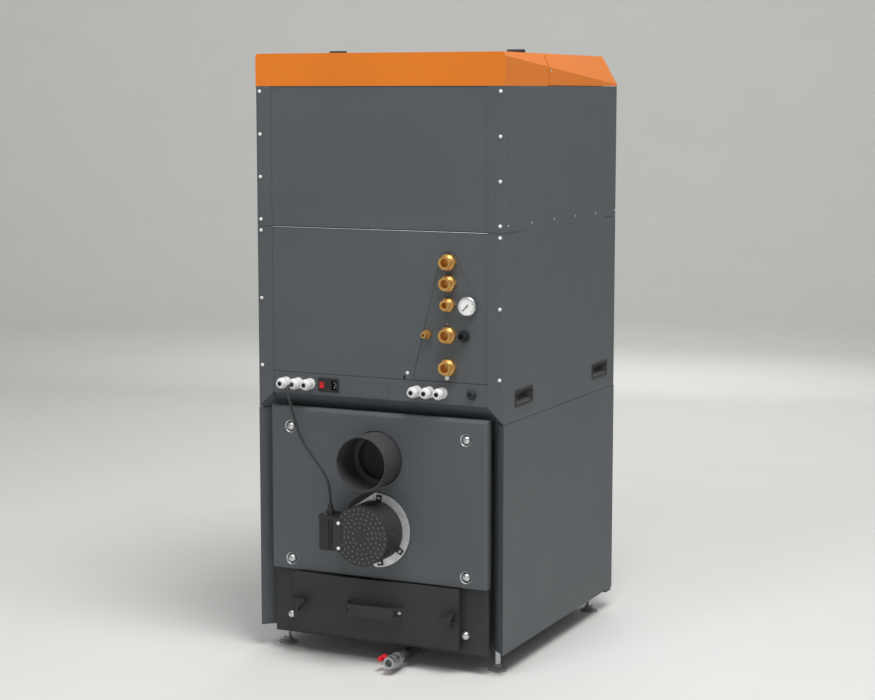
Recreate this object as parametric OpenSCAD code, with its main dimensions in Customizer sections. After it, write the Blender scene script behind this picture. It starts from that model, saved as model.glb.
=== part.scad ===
// Pellet boiler with a top hopper: folded sheet cladding round a steel boiler body, service side at +Y
// Front is -Y, the service side with flue, fan and water connections is +Y, and +Z is up from the floor.

/* [Cladding] */
// Width over the side panels
body_w = 650; // [600:10:720]
// Depth of the cladding from front to rear face
body_d = 728; // [700:4:800]
// Height of the lower panels' bottom edge above the floor
clad_bottom_z = 55; // [54:1:75]
// Height of the lower section
lower_h = 546; // [530:2:580]
// Height of the middle section
mid_h = 443; // [430:1:500]
// Height of the hopper section
hopper_h = 333; // [300:1:420]
// Thickness of the folded sheet
sheet = 1.5; // [1:0.25:2]
// Height of the inner strips behind the row of side screws
ledge_h = 56; // [40:2:80]
// Width of the return flanges on the side panels
return_w = 41; // [36:1:44]
// Outside radius of the bends
bend_r = 3; // [2.5:0.5:5]
// Reveal between neighbouring panels
seam = 1; // [0.5:0.25:2]

/* [Lid] */
// Height of the lid
lid_h = 76.5; // [70:0.5:90]
// Height of the lid's side at the rear
lid_side_rear_h = 67.5; // [60:0.5:69]
// Height of the lid's side at the front edge
lid_side_front_h = 5; // [4:0.5:10]
// Sideways run of the side facet for each millimetre of rise
facet_run = 0.444; // [0.3:0.01:0.6]
// How far the top edge sits behind the front edge
lid_front_rake = 28; // [20:1:40]
// Distance of the lid seam from the rear face
lid_split = 260; // [230:5:300]
// Gap at the lid seam
lid_gap = 5; // [5:0.5:8]
// Width of the flap's inner rim flange
rim_w = 16; // [12:1:20]
// Distance of each hinge's middle from the lid's side
hinge_side = 85; // [60:5:140]
// Width of a hinge
hinge_w = 44; // [36:1:60]
// Radius of a hinge knuckle
knuckle_r = 5; // [4.5:0.25:6]
// Radius of a hinge pin
pin_r = 2.5; // [2:0.25:3]
// Radial clearance round a hinge pin
pin_clear = 0.3; // [0.2:0.05:0.5]
// Thickness of a hinge leaf
leaf_t = 2; // [1.5:0.25:2.5]
// Depth of a hinge leaf
leaf_d = 24; // [18:1:30]

/* [Hopper] */
// Distance of the hopper opening from the side panels' outside
bin_side = 49; // [46:1:70]
// Distance of the opening's rear edge from the rear face
bin_rear = 300; // [290:5:340]
// Distance of the opening's front edge from the front face
bin_front = 40; // [30:2:60]
// Depth of the straight upper walls
bin_wall_h = 250; // [200:10:290]
// Height of the funnel
funnel_h = 280; // [240:10:300]
// Side of the funnel's outlet
outlet_w = 120; // [100:5:160]
// Wall thickness of the hopper
bin_t = 2; // [1.5:0.25:3]
// Height of the foam seal
seal_h = 3; // [2.5:0.5:5]
// Width of the foam seal
seal_w = 14; // [10:1:15]

/* [Rear connections] */
// Rise and run of the sloping soffit
soffit = 40; // [36:1:41]
// Height of the gland strip
strip_h = 51; // [46:1:60]
// Distance of the connection axis from the side
fitting_side = 140.5; // [130:0.5:150]
// Heights of the water fittings above the strip, top to bottom
fitting_rise = [281, 232, 182.5, 111.5, 36];
// Outside radii of the fitting mouths
fitting_r = [15.5, 15.5, 12.5, 16, 16];
// How far the fitting mouths stand out of the rear face
fitting_reach = 24; // [20:1:36]
// Wall of a fitting's mouth
fitting_wall = 5.5; // [4:0.25:6]
// How far the fittings window reaches in from the connection axis
window_reach = 94; // [80:1:105]
// How far the notch in the panel's lower edge lies from the connection axis
notch_reach = 115.5; // [108:0.5:120]
// Height of that notch
notch_h = 9.5; // [8:0.5:15]
// Radius of the pressure gauge
gauge_r = 22.5; // [20:0.5:25]
// Distances of gauge, union cap and hose nipple from the connection axis
beside_fittings = [49.5, 39, 55];
// Pitch of the cable glands
gland_pitch = 33; // [30:0.5:36]
// Distances of the two gland trios' middles from their sides
gland_side = [109, 190];
// Height of the glands above the strip's bottom
gland_rise = 25.5; // [22:0.5:30]
// Length of a gland
gland_len = 34; // [30:1:42]
// Radius of the hole in a gland
gland_bore_r = 4.5; // [4.25:0.25:6]
// Widest radius of a gland
gland_r = 13.5; // [12:0.25:15]
// Size of the mains inlet's frame
inlet_size = [56, 33];
// Size of the mains socket
socket_size = [15, 24, 14];
// Size of the rocker switch
rocker_size = [12, 15];
// Distance of the mains inlet from the first trio's middle
inlet_off = 111; // [108:1:125]
// Distance of the rubber grommet from the side
grommet_side = 82; // [70:1:95]
// Radius of the rubber grommet
grommet_r = 12; // [10:0.5:14]

/* [Boiler rear] */
// Distance of the grey rear cover from the sides
cover_side = 36; // [35:1:55]
// Height of the rear cover
cover_h = 400; // [340:2:440]
// How far the rear cover reaches over the lower section's top
cover_rise = 8; // [4:0.5:10]
// How far the rear cover stands out of the cladding's rear face
stand = 8; // [4:0.5:12]
// Depth of the rear cover and the ash panel behind their faces
cover_d = 28; // [20:1:30]
// Radius of the rear cover's folded edges
cover_edge_r = 10; // [6:0.5:14]
// Radius of the recesses for the cover nuts
nut_recess_r = 15; // [13:0.5:18]
// Depth of the nut recesses
nut_recess_d = 8; // [5:0.5:12]
// Distance of the cover nuts from the cover's sides
nut_side = 55.5; // [40:0.5:70]
// Distance of the cover nuts from the cover's top and bottom edges
nut_inset = [48.5, 25];
// Outside radius of the flue spigot
flue_r = 65; // [60:0.5:70]
// Wall of the flue spigot
flue_wall = 2; // [1.5:0.25:3]
// Reach of the flue spigot past the rear cover
flue_reach = 83; // [60:1:87]
// Clearance of the cover's hole round the flue
flue_clear = 2; // [1:0.25:4]
// Depth that the ash panel's face lies behind the rear cover's
ash_set_back = 10; // [6:0.5:12]
// Height of the ash panel's bottom edge above the floor
ash_bottom_z = 47; // [44:1:52]
// Distance of the ash cover from the rear cover's sides
ash_cover_side = 69; // [60:1:90]
// Border of the ash panel above and below the ash cover
ash_border = [4, 12];
// Thickness of the ash cover
ash_cover_t = 21; // [16:0.5:24]
// Distance of the knobs from the ash cover's sides
knob_side = 20; // [8:1:30]
// Reach of a knob's arms
knob_r = 23; // [18:0.5:26]
// Height of a knob
knob_h = 24; // [18:0.5:28]
// Thickness of the handle's bar
handle_t = 4; // [3:0.5:6]
// Height of the handle's bar
handle_h = 29; // [24:1:34]
// Reach of the handle
handle_reach = 28; // [24:1:36]
// Distance of the handle's feet ends from the middle
handle_foot = 76; // [70:1:90]
// Width and height of the openings in the handle's ends, which leave the bolts free
handle_hole = [12, 16];

/* [Fan] */
// Radius of the fan's mounting plate
fan_plate_r = 90; // [86:0.5:92]
// Distance of the plate's straight sides from the axis
fan_flat = 76; // [74:0.5:82]
// Thickness of the gasket and of the plate
fan_plate_t = 3; // [2:0.25:4]
// Radius of the perforated guard
guard_r = 71.5; // [68:0.5:72]
// Length of the guard
guard_len = 81; // [74:1:90]
// Wall of the guard
guard_t = 1.5; // [1:0.25:2]
// Radius of the guard's holes
perf_r = 2.5; // [2:0.1:3]
// Radii of the rings of holes in the guard's end
perf_rings = [21, 32, 43, 54, 64.5];
// Rows of holes along the guard's side
perf_rows = 8; // [3:1:8]
// Holes in each row round the side
perf_count = 38; // [24:1:40]

/* [Feet and drain] */
// Distance of the feet from the sides
foot_side = 40; // [36:1:60]
// Distance of the feet from the front and rear faces
foot_inset = 62; // [56:1:80]
// Radius of the foot pads
foot_r = 22.5; // [20:0.5:30]
// Height of the foot pads
foot_h = 15; // [12:0.5:20]
// Radius of the foot studs
stud_r = 7; // [5:0.5:8]
// Distance of the drain axis from the middle
drain_x = -74; // [-90:1:-60]
// Height of the drain axis above the floor
drain_z = 31; // [28:1:34]
// Radius of the drain pipe
drain_r = 11; // [9:0.5:12]
// Reach of the drain outlet past the rear face
drain_reach = 95; // [88:1:95]
// Length of the drain lever over both wings
lever_len = 36; // [28:1:40]

/* [Side grips] */
// Length of a grip recess
grip_w = 107; // [95:1:115]
// Height of a grip recess
grip_h = 40; // [34:1:44]
// Depth of a grip recess
grip_d = 24; // [18:1:30]
// Wall of a grip and width of its rim
grip_wall = [2, 5];
// Distance of the grips from the rear face and of the front ones from the front face
grip_inset = [65, 55];
// Height of the grips above the middle section's bottom
grip_z = 32; // [28:1:40]

/* [Hidden] */
$fn = 64;

grey = "#565b5e";
dark = "#393939";
orange = "#d67a2d";
brass = "#d9943f";
zinc = "#c4c6c6";

// Levels above the floor
lower_top_z = clad_bottom_z + lower_h;
mid_top_z = lower_top_z + mid_h;
hopper_top_z = mid_top_z + hopper_h;
lid_top_z = hopper_top_z + lid_h;
strip_z = lower_top_z + soffit;
strip_top_z = strip_z + strip_h;

cover_top_z = lower_top_z + cover_rise;
cover_bottom_z = cover_top_z - cover_h;

// The rear face's place, so that the whole object is centred over the origin
guard_end = stand + 2 * fan_plate_t + guard_len;
rear_reach = max(guard_end, drain_reach, stand + flue_reach);
rear_y = (body_d - rear_reach) / 2;

// Places across the width
half_w = body_w / 2;
panel_half_w = half_w - bend_r;
cover_half_w = half_w - cover_side;
ash_cover_half_w = cover_half_w - ash_cover_side;
bin_half_w = half_w - bin_side;
hinge_x = half_w - hinge_side;
nut_x = cover_half_w - nut_side;
knob_x = ash_cover_half_w - knob_side;
foot_x = half_w - foot_side;
fitting_x = half_w - fitting_side;
gland_x = [half_w - gland_side[0], gland_side[1] - half_w];

// Sheets that lie behind the return flanges
panel_y = -sheet;
plate_y = -2 * sheet;
cover_back = stand - cover_d;
// Room behind the chamfered rear flanges, and the narrower rear plate that carries the rear covers
body_rear = return_w + 3 * sheet + 4;
plate_half_w = half_w - return_w - 22;
body_bottom_z = clad_bottom_z + 2;
body_top_z = lower_top_z + 34;
// Thickness of the front's lower panel, and how far it reaches under the side panels
front_t = 36;
front_drop = 8;

// Flue and fan share the rear cover's height that their own sizes leave over
flue_hole_r = flue_r + flue_clear;
cover_slack = cover_h - 2 * flue_hole_r - 2 * fan_plate_r;
flue_z = cover_top_z - flue_hole_r - cover_slack * 0.5;
fan_z = flue_z - flue_hole_r - fan_plate_r - cover_slack * 0.166;

// The ash cover between the borders of its panel
ash_cover_z = ash_bottom_z + ash_border[1];
ash_cover_h = cover_bottom_z - ash_border[0] - ash_cover_z;
ash_face = stand - ash_set_back + ash_cover_t;
grip_z0 = ash_cover_z + ash_cover_h * 0.515;

// The lid's hinge line
axis_y = -lid_split;
axis_z = lid_top_z + knuckle_r + 0.5;
deck_z = hopper_top_z - 2;
flap_bottom_z = deck_z + seal_h + 0.3;

// Terminal box on the fan's side and the strain relief on its top
box_far_x = guard_r + 42.5;
box_step_x = guard_r + 17.5;
box_y = [34, 86];
box_z = fan_z - 44;
box_h = 85;
relief_at = [guard_r + 20, 70];
relief_h = 24;

// The fan cable leaves the second gland, turns down and runs to the strain relief
cord_d = 6.5;
gland_z = strip_z + gland_rise;
cord_from = [gland_x[0], panel_y + gland_len, gland_z];
cord_to = [relief_at[0], relief_at[1], box_z + box_h + relief_h];
// Shares of the way across, from the rear and down
cord_shares = [[0, 0, 0], [0, 0.23, 0.002], [0.003, 0.453, 0.013], [0.013, 0.627, 0.034],
               [0.032, 0.733, 0.063], [0.064, 0.787, 0.096], [0.108, 0.813, 0.143], [0.152, 0.84, 0.197],
               [0.2, 0.867, 0.259], [0.253, 0.893, 0.327], [0.317, 0.92, 0.4], [0.393, 0.947, 0.461],
               [0.489, 0.973, 0.523], [0.589, 0.987, 0.577], [0.69, 1, 0.629], [0.782, 1, 0.678],
               [0.862, 1, 0.729], [0.926, 1, 0.783], [0.966, 1, 0.841], [0.988, 1, 0.899],
               [0.998, 1, 0.953], [1, 1, 1]];
cord_route = [for (s = cord_shares) [for (k = [0 : 2]) cord_from[k] + s[k] * (cord_to[k] - cord_from[k])]];

// Helpers
module along_y(x, y, z) {
    translate([x, y, z]) rotate([-90, 0, 0]) children();
}

module extrude_x(x0, x1) {
    translate([x0, 0, 0]) rotate([90, 0, 90]) linear_extrude(x1 - x0) children();
}

module extrude_y(y0, y1) {
    translate([0, y1, 0]) rotate([90, 0, 0]) linear_extrude(y1 - y0) children();
}

module block(x, y, z) {
    translate([x[0], y[0], z[0]]) cube([x[1] - x[0], y[1] - y[0], z[1] - z[0]]);
}

module both_sides() {
    children();
    mirror([1, 0, 0]) children();
}

module rounded_rect(x0, y0, x1, y1, r) {
    translate([x0 + r, y0]) square([x1 - x0 - 2 * r, y1 - y0]);
    translate([x0, y0 + r]) square([x1 - x0, y1 - y0 - 2 * r]);
    for (x = [x0 + r, x1 - r], y = [y0 + r, y1 - r]) translate([x, y]) circle(r);
}

module ring_y(y0, y1, r_out, r_in) {
    along_y(0, y0, 0) difference() {
        cylinder(r = r_out, h = y1 - y0);
        translate([0, 0, -1]) cylinder(r = r_in, h = y1 - y0 + 2);
    }
}

// Side panel in plan: the side sheet with a return flange at the rear and at the front
module channel_plan() {
    intersection() {
        difference() {
            rounded_rect(half_w - 3 * return_w, -body_d, half_w, 0, bend_r);
            rounded_rect(half_w - 4 * return_w, -body_d + sheet, half_w - sheet, -sheet, bend_r - sheet);
        }
        translate([half_w - return_w, -body_d]) square([return_w, body_d]);
    }
}

// Lower side panel in plan: the rear flange folds forwards at 45 degrees
module chamfer_plan() {
    fold = sheet * sqrt(2);
    polygon([[half_w, -body_d], [half_w, 0], [half_w - return_w, -return_w],
             [half_w - return_w + fold / 2, -return_w - fold / 2], [half_w - sheet, -fold - sheet],
             [half_w - sheet, -body_d]]);
}

// Cladding
module boiler_body() {
    color(dark) {
        block([-half_w + sheet, half_w - sheet], [-body_d + front_t, -body_rear],
              [body_bottom_z, body_top_z]);
        block([-plate_half_w, plate_half_w], [-body_rear - 1, cover_back], [body_bottom_z, cover_top_z - 40]);
    }
}

module lower_side_panel_right() {
    color(grey) translate([0, 0, clad_bottom_z]) linear_extrude(lower_h - seam) chamfer_plan();
}

module lower_side_panel_left() {
    mirror([1, 0, 0]) lower_side_panel_right();
}

module front_lower_panel() {
    inner = half_w - sheet;
    color(grey) translate([0, 0, clad_bottom_z - front_drop]) linear_extrude(lower_h + front_drop - seam)
        rounded_rect(-inner, -body_d, inner, -body_d + front_t, bend_r);
}

module grip_openings(grow) {
    for (y = [-grip_inset[0] - grip_w, -body_d + grip_inset[1]])
        block([half_w - grip_d - 4, half_w + 1], [y - grow, y + grip_w + grow],
              [lower_top_z + grip_z - grow, lower_top_z + grip_z + grip_h + grow]);
}

module mid_side_panel_right() {
    color(grey) difference() {
        translate([0, 0, lower_top_z]) linear_extrude(mid_h - seam) channel_plan();
        extrude_y(-2 * bend_r, 1) polygon([
            [half_w - return_w - 1, lower_top_z - 1], [half_w - sheet, lower_top_z - 1],
            [half_w - sheet, lower_top_z + sheet], [half_w - return_w - 1, strip_z + 1]]);
        grip_openings(-2);
    }
}

module mid_side_panel_left() {
    mirror([1, 0, 0]) mid_side_panel_right();
}

module hopper_side_panel_right() {
    color(grey) translate([0, 0, mid_top_z]) linear_extrude(hopper_h) channel_plan();
}

module hopper_side_panel_left() {
    mirror([1, 0, 0]) hopper_side_panel_right();
}

// Strips inside the side panels that the row of side screws holds: they join hopper and middle sections
module hopper_ledges() {
    inner = half_w - sheet;
    color(zinc) both_sides() block([inner - sheet, inner], [-body_d + 2 * return_w, -2 * return_w],
                                   [mid_top_z - ledge_h / 2, mid_top_z + ledge_h / 2]);
}

module front_mid_panel() {
    color(grey) block([-panel_half_w, panel_half_w], [-body_d + sheet, -body_d + 2 * sheet],
                      [lower_top_z, mid_top_z - seam]);
}

module front_hopper_panel() {
    color(grey) block([-panel_half_w, panel_half_w], [-body_d + sheet, -body_d + 2 * sheet],
                      [mid_top_z, hopper_top_z]);
}

module hopper_rear_panel() {
    color(grey) block([-panel_half_w, panel_half_w], [plate_y, panel_y], [mid_top_z + seam, hopper_top_z]);
}

// Outline of the window that shows the fittings plate: slanted sides, an upright outer edge and a round top
module fittings_window(grow) {
    top = strip_top_z + fitting_rise[0];
    outer_x = half_w - return_w - 2;
    inner_x = fitting_x - window_reach;
    hull() {
        translate([-fitting_x, top]) circle(fitting_r[0] + 9 + grow, $fn = 32);
        translate([-outer_x - grow, strip_top_z]) square([outer_x - inner_x + 2 * grow, 1]);
        translate([-outer_x - grow, strip_top_z]) square([1, fitting_rise[3] + 40]);
    }
}

module connection_panel() {
    fold_r = bend_r + 2;
    fold_at = [panel_y - fold_r, mid_top_z - seam - fold_r];
    notch_x = notch_reach - fitting_x;
    color(grey) {
        difference() {
            block([-panel_half_w, panel_half_w], [plate_y, panel_y], [strip_top_z + seam, fold_at[1]]);
            extrude_y(plate_y - 1, panel_y + 1) fittings_window(0);
            block([notch_x - 2, notch_x + 2], [plate_y - 1, panel_y + 1],
                  [strip_top_z, strip_top_z + notch_h]);
        }
        // Folded top edge
        extrude_x(-half_w + return_w + 1, half_w - return_w - 1) intersection() {
            difference() {
                translate(fold_at) circle(fold_r);
                translate(fold_at) circle(fold_r - sheet);
            }
            translate(fold_at) square(fold_r);
        }
    }
}

module fittings_plate() {
    color(grey) extrude_y(plate_y - sheet, plate_y) intersection() {
        fittings_window(12);
        translate([-half_w, strip_top_z + seam]) square([body_w, mid_h]);
    }
}

module gland_strip() {
    edge = half_w - return_w;
    fold = sheet * (sqrt(2) - 1);
    color(grey) difference() {
        union() {
            block([-edge - 14, edge + 14], [plate_y, panel_y], [strip_z + sheet, strip_top_z]);
            extrude_x(-edge, edge) polygon([
                [panel_y, strip_z + sheet + 1], [panel_y, strip_z], [panel_y - soffit, lower_top_z],
                [panel_y - soffit - sheet, lower_top_z + fold], [plate_y, strip_z + fold],
                [plate_y, strip_z + sheet + 1]]);
        }
        inlet_body(0.3);
    }
}

// Small triangles that close the corners between soffit, flange and chamfer
module corner_gussets() {
    edge = half_w - return_w;
    back = [sheet, -sheet, sheet] * 0.6;
    a = [edge + 1, -sheet, strip_z - 2];
    b = [half_w - sheet - 1, -sheet, lower_top_z + sheet];
    c = [edge + 1, -return_w + sheet, lower_top_z + 1];
    color(grey) both_sides() polyhedron(
        points = [a, b, c, a + back, b + back, c + back],
        faces = [[0, 1, 2], [5, 4, 3], [0, 3, 4, 1], [1, 4, 5, 2], [2, 5, 3, 0]]);
}

// Boiler rear
module rear_cover() {
    nut_z = [cover_top_z - nut_inset[0], cover_bottom_z + nut_inset[1]];
    color(grey) difference() {
        intersection() {
            translate([0, 0, cover_bottom_z]) linear_extrude(cover_h)
                rounded_rect(-cover_half_w, cover_back, cover_half_w, stand, cover_edge_r);
            extrude_x(-cover_half_w - 1, cover_half_w + 1) {
                rounded_rect(cover_back, cover_bottom_z + 4 * cover_edge_r, stand, cover_top_z, cover_edge_r);
                translate([cover_back, cover_bottom_z]) square([cover_d, cover_h - 2 * cover_edge_r]);
            }
        }
        along_y(0, cover_back - 1, flue_z) cylinder(r = flue_hole_r, h = cover_d + 2);
        for (x = [-nut_x, nut_x], z = nut_z) along_y(x, stand - nut_recess_d, z)
            cylinder(r1 = nut_recess_r - 4, r2 = nut_recess_r + 0.5, h = nut_recess_d + 1);
    }
}

module ash_panel() {
    color(dark) translate([0, 0, ash_bottom_z]) linear_extrude(cover_bottom_z - ash_bottom_z)
        rounded_rect(2 - cover_half_w, cover_back, cover_half_w - 2, stand - ash_set_back, 8);
}

module ash_cover() {
    color(dark) extrude_y(stand - ash_set_back, ash_face)
        rounded_rect(-ash_cover_half_w, ash_cover_z, ash_cover_half_w, ash_cover_z + ash_cover_h, 7);
}

// Bent strip with slanted ends, each with an opening that leaves its bolt free
module ash_cover_handle() {
    bar = handle_foot * 0.75;
    slant = (handle_foot - bar) / handle_reach;
    across = handle_t * sqrt(1 + slant * slant);
    inner = bar + handle_t * slant - across;
    color(dark) translate([0, ash_face, grip_z0]) difference() {
        translate([0, 0, -handle_h / 2]) linear_extrude(handle_h) polygon([
            [-handle_foot, 0], [-bar, handle_reach], [bar, handle_reach], [handle_foot, 0],
            [handle_foot - across, 0], [inner, handle_reach - handle_t], [-inner, handle_reach - handle_t],
            [across - handle_foot, 0]]);
        for (side = [-1, 1])
            translate([side * (bar + handle_foot) / 2, handle_reach / 2, 0])
                cube([handle_hole[0], handle_reach + 2, handle_hole[1]], center = true);
    }
}

// Three-armed knobs, stopped at different turns as in use
module ash_cover_knobs() {
    neck_h = knob_h * 0.55;
    tip_r = knob_r * 0.2;
    root = tip_r * 1.9;
    arm = knob_r - tip_r;
    color(dark) for (side = [-1, 1]) along_y(side * knob_x, ash_face, grip_z0) rotate(side < 0 ? 25 : -8) {
        cylinder(r = knob_r * 0.36, h = neck_h);
        translate([0, 0, neck_h - 1]) linear_extrude(knob_h + 1 - neck_h) {
            circle(knob_r * 0.42);
            for (a = [90 : 120 : 330]) rotate(a) {
                polygon([[0, -root], [arm, -tip_r], [arm, tip_r], [0, root]]);
                translate([arm, 0]) circle(tip_r);
            }
        }
    }
}

module flue_spigot() {
    color(dark) translate([0, 0, flue_z]) {
        ring_y(cover_back, stand + flue_reach, flue_r, flue_r - flue_wall);
        ring_y(cover_back, stand - 4, flue_r - flue_wall + 0.5, flue_r - 7 * flue_wall);
    }
}

// Fan
module fan_gasket() {
    color("#1c1c1c") along_y(0, stand, fan_z) cylinder(r = fan_plate_r, h = fan_plate_t);
}

module fan_plate() {
    color(zinc) along_y(0, stand + fan_plate_t, fan_z) linear_extrude(fan_plate_t) difference() {
        circle(fan_plate_r);
        for (a = [57, -57]) rotate(a)
            translate([fan_flat, -fan_plate_r]) square([fan_plate_r, 2 * fan_plate_r]);
    }
}

// Perforated drum with a perforated end and three feet on the plate
module fan_guard() {
    hole_pitch = 5.2 * perf_r;
    row_pitch = (guard_len - 14) / perf_rows;
    foot_w = 14;
    color(dark) along_y(0, stand + 2 * fan_plate_t, fan_z) {
        difference() {
            cylinder(r = guard_r, h = guard_len);
            translate([0, 0, -1]) cylinder(r = guard_r - guard_t, h = guard_len + 1 - guard_t);
            for (r = perf_rings) {
                count = round(2 * PI * r / hole_pitch);
                for (i = [0 : count - 1]) rotate(360 / count * i + r)
                    translate([r, 0, guard_len - 3]) cylinder(r = perf_r, h = 4);
            }
            for (row = [0 : perf_rows - 1], i = [0 : perf_count - 1])
                rotate(360 / perf_count * (i + row % 2 / 2)) translate([guard_r - 4, 0, 9 + row * row_pitch])
                    rotate([0, 90, 0]) cylinder(r = perf_r, h = 8);
        }
        for (a = [97, 215, 261]) rotate(-a) difference() {
            translate([guard_r - guard_t, -foot_w / 2, 0])
                cube([fan_plate_r - guard_r - 2, foot_w, guard_t + 1]);
            translate([guard_r + foot_w / 2, 0, -1]) cylinder(r = 2.5, h = 5);
        }
    }
}

// Motor housing close behind the perforated sheet
module fan_motor() {
    room = 4;
    color(zinc) along_y(0, stand + 2 * fan_plate_t, fan_z)
        cylinder(r = guard_r - guard_t - room, h = guard_len - guard_t - room);
}

module fan_terminal_box() {
    top = box_z + box_h;
    color(dark) difference() {
        union() {
            block([guard_r - 12, box_step_x], [box_y[0], box_y[1] - 1.5], [box_z, top - 2]);
            block([box_step_x, box_far_x], box_y, [box_z, top - 2]);
            block([guard_r - 12, box_far_x + 1], [box_y[0], box_y[1] + 1], [top - 9, top]);
        }
        along_y(0, 0, fan_z) cylinder(r = guard_r, h = guard_end + 1);
    }
}

module fan_strain_relief() {
    nut_h = relief_h * 0.35;
    color(dark) translate([relief_at[0], relief_at[1], box_z + box_h]) {
        cylinder(r = cord_d * 1.6, h = nut_h, $fn = 12);
        translate([0, 0, nut_h]) cylinder(r1 = cord_d * 1.35, r2 = cord_d / 2 + 1.5, h = relief_h - nut_h);
    }
}

// Ring of points round one route point, square to the route
function unit(v) = v / norm(v);
function heading(p, i) = unit(p[min(i + 1, len(p) - 1)] - p[max(i - 1, 0)]);
function ring_at(p, i, r, sides) =
    let (t = heading(p, i), u = unit(cross(t, [1, 0.2, 0])), v = cross(t, u))
    [for (k = [0 : sides - 1]) p[i] + r * (cos(360 * k / sides) * u + sin(360 * k / sides) * v)];

module fan_cord() {
    sides = 10;
    n = len(cord_route);
    color("#2b2d2e") polyhedron(
        points = [for (i = [0 : n - 1]) each ring_at(cord_route, i, cord_d / 2, sides)],
        faces = concat(
            [[for (k = [0 : sides - 1]) sides - 1 - k]],
            [[for (k = [0 : sides - 1]) (n - 1) * sides + k]],
            [for (i = [0 : n - 2], k = [0 : sides - 1])
                let (a = i * sides, b = a + sides, next = (k + 1) % sides)
                [a + k, a + next, b + next, b + k]]));
}

// Rear connections
module gland() {
    flange_h = gland_len * 0.15;
    cap_h = gland_len * 0.24;
    nut_h = gland_len * 0.26;
    body_h = gland_len - flange_h - nut_h - cap_h;
    difference() {
        union() {
            cylinder(r = gland_r, h = flange_h);
            translate([0, 0, flange_h]) cylinder(r = gland_r - 2, h = body_h);
            translate([0, 0, flange_h + body_h]) cylinder(r = gland_r - 0.5, h = nut_h);
            translate([0, 0, gland_len - cap_h]) cylinder(r1 = gland_r - 0.5, r2 = gland_r - 4, h = cap_h);
        }
        translate([0, 0, -1]) cylinder(r = gland_bore_r, h = gland_len + 2);
    }
}

module cable_glands() {
    color("white") for (middle = gland_x, i = [-1 : 1])
        along_y(middle + i * gland_pitch, panel_y, gland_z) gland();
}

// Mains inlet: the frame's place and, inside it, socket and rocker
inlet_at = [gland_x[0] - inlet_off, strip_z + 8.5];
socket_at = inlet_at + [5, 4.5];
rocker_at = inlet_at + [39, 9];

module inlet_body(grow) {
    block([inlet_at[0] + 3 - grow, inlet_at[0] + inlet_size[0] - 3 + grow], [-26, panel_y + 0.1],
          [inlet_at[1] + 3 - grow, inlet_at[1] + inlet_size[1] - 3 + grow]);
}

module power_inlet() {
    color("#1d1e1f") difference() {
        union() {
            translate([inlet_at[0], panel_y, inlet_at[1]]) cube([inlet_size[0], 1 - panel_y, inlet_size[1]]);
            inlet_body(0);
        }
        translate([socket_at[0], -socket_size[2], socket_at[1]])
            cube([socket_size[0], socket_size[2] + 2, socket_size[1]]);
        translate([rocker_at[0], -4, rocker_at[1]]) cube([rocker_size[0], 6, rocker_size[1]]);
    }
}

module rocker_switch() {
    play = 0.3;
    top = rocker_size[1] - 2 * play;
    color("#d8232f") translate([0, 0, rocker_at[1] + play])
        extrude_x(rocker_at[0] + play, rocker_at[0] + rocker_size[0] - play)
            polygon([[-4, 0], [3.5, 0], [1.6, top / 2], [3, top], [-4, top]]);
}

module rubber_grommet() {
    color("#2a2b2c") along_y(grommet_side - half_w, panel_y, gland_z + 1) rotate_extrude()
        polygon([[0, 0], [grommet_r, 0], [grommet_r, 3], [grommet_r - 3, 8], [grommet_r - 7, 9],
                 [grommet_r - 8, 5], [0, 5]]);
}

// Hexagon at the plate, collar and the male end
module fitting(r) {
    hex_h = 13;
    difference() {
        union() {
            cylinder(r = r + 5, h = hex_h, $fn = 6);
            translate([0, 0, hex_h]) cylinder(r1 = r + 3, r2 = r, h = 3);
            cylinder(r = r, h = fitting_reach - plate_y);
        }
        translate([0, 0, 6]) cylinder(r = r - fitting_wall, h = fitting_reach);
    }
}

module water_fittings() {
    color(brass) for (i = [0 : len(fitting_rise) - 1])
        along_y(-fitting_x, plate_y, strip_top_z + fitting_rise[i]) fitting(fitting_r[i]);
}

nipple_z = strip_top_z + fitting_rise[3] - 1;
module hose_nipple() {
    tip_r = 7.5;
    color(brass) along_y(beside_fittings[2] - fitting_x, plate_y, nipple_z) difference() {
        union() {
            cylinder(r = tip_r + 4, h = 9, $fn = 6);
            cylinder(r = tip_r - 0.5, h = 16);
            translate([0, 0, 15]) cylinder(r1 = tip_r + 1.5, r2 = tip_r - 1, h = 10);
        }
        translate([0, 0, 8]) cylinder(r = tip_r / 2 - 0.5, h = 30);
    }
}

module union_cap() {
    cap_r = 14;
    color("#1d1e1f") along_y(-fitting_x - beside_fittings[1], plate_y, nipple_z) difference() {
        union() {
            cylinder(r = cap_r, h = 9, $fn = 8);
            cylinder(r = cap_r - 4.5, h = 18);
        }
        translate([0, 0, 6]) cylinder(r = cap_r / 2, h = 20);
    }
}

module pressure_gauge() {
    rim = 2.5;
    case_h = 12.5;
    color("#e8eaea") along_y(-fitting_x - beside_fittings[0], plate_y, strip_top_z + fitting_rise[2] - 1.5)
        rotate_extrude()
            polygon([[0, 0], [gauge_r - 2, 0], [gauge_r, 2], [gauge_r, case_h - 1.5], [gauge_r - 1.2, case_h],
                     [gauge_r - rim, case_h], [gauge_r - rim, case_h - 2], [0, case_h - 2]]);
}

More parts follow.
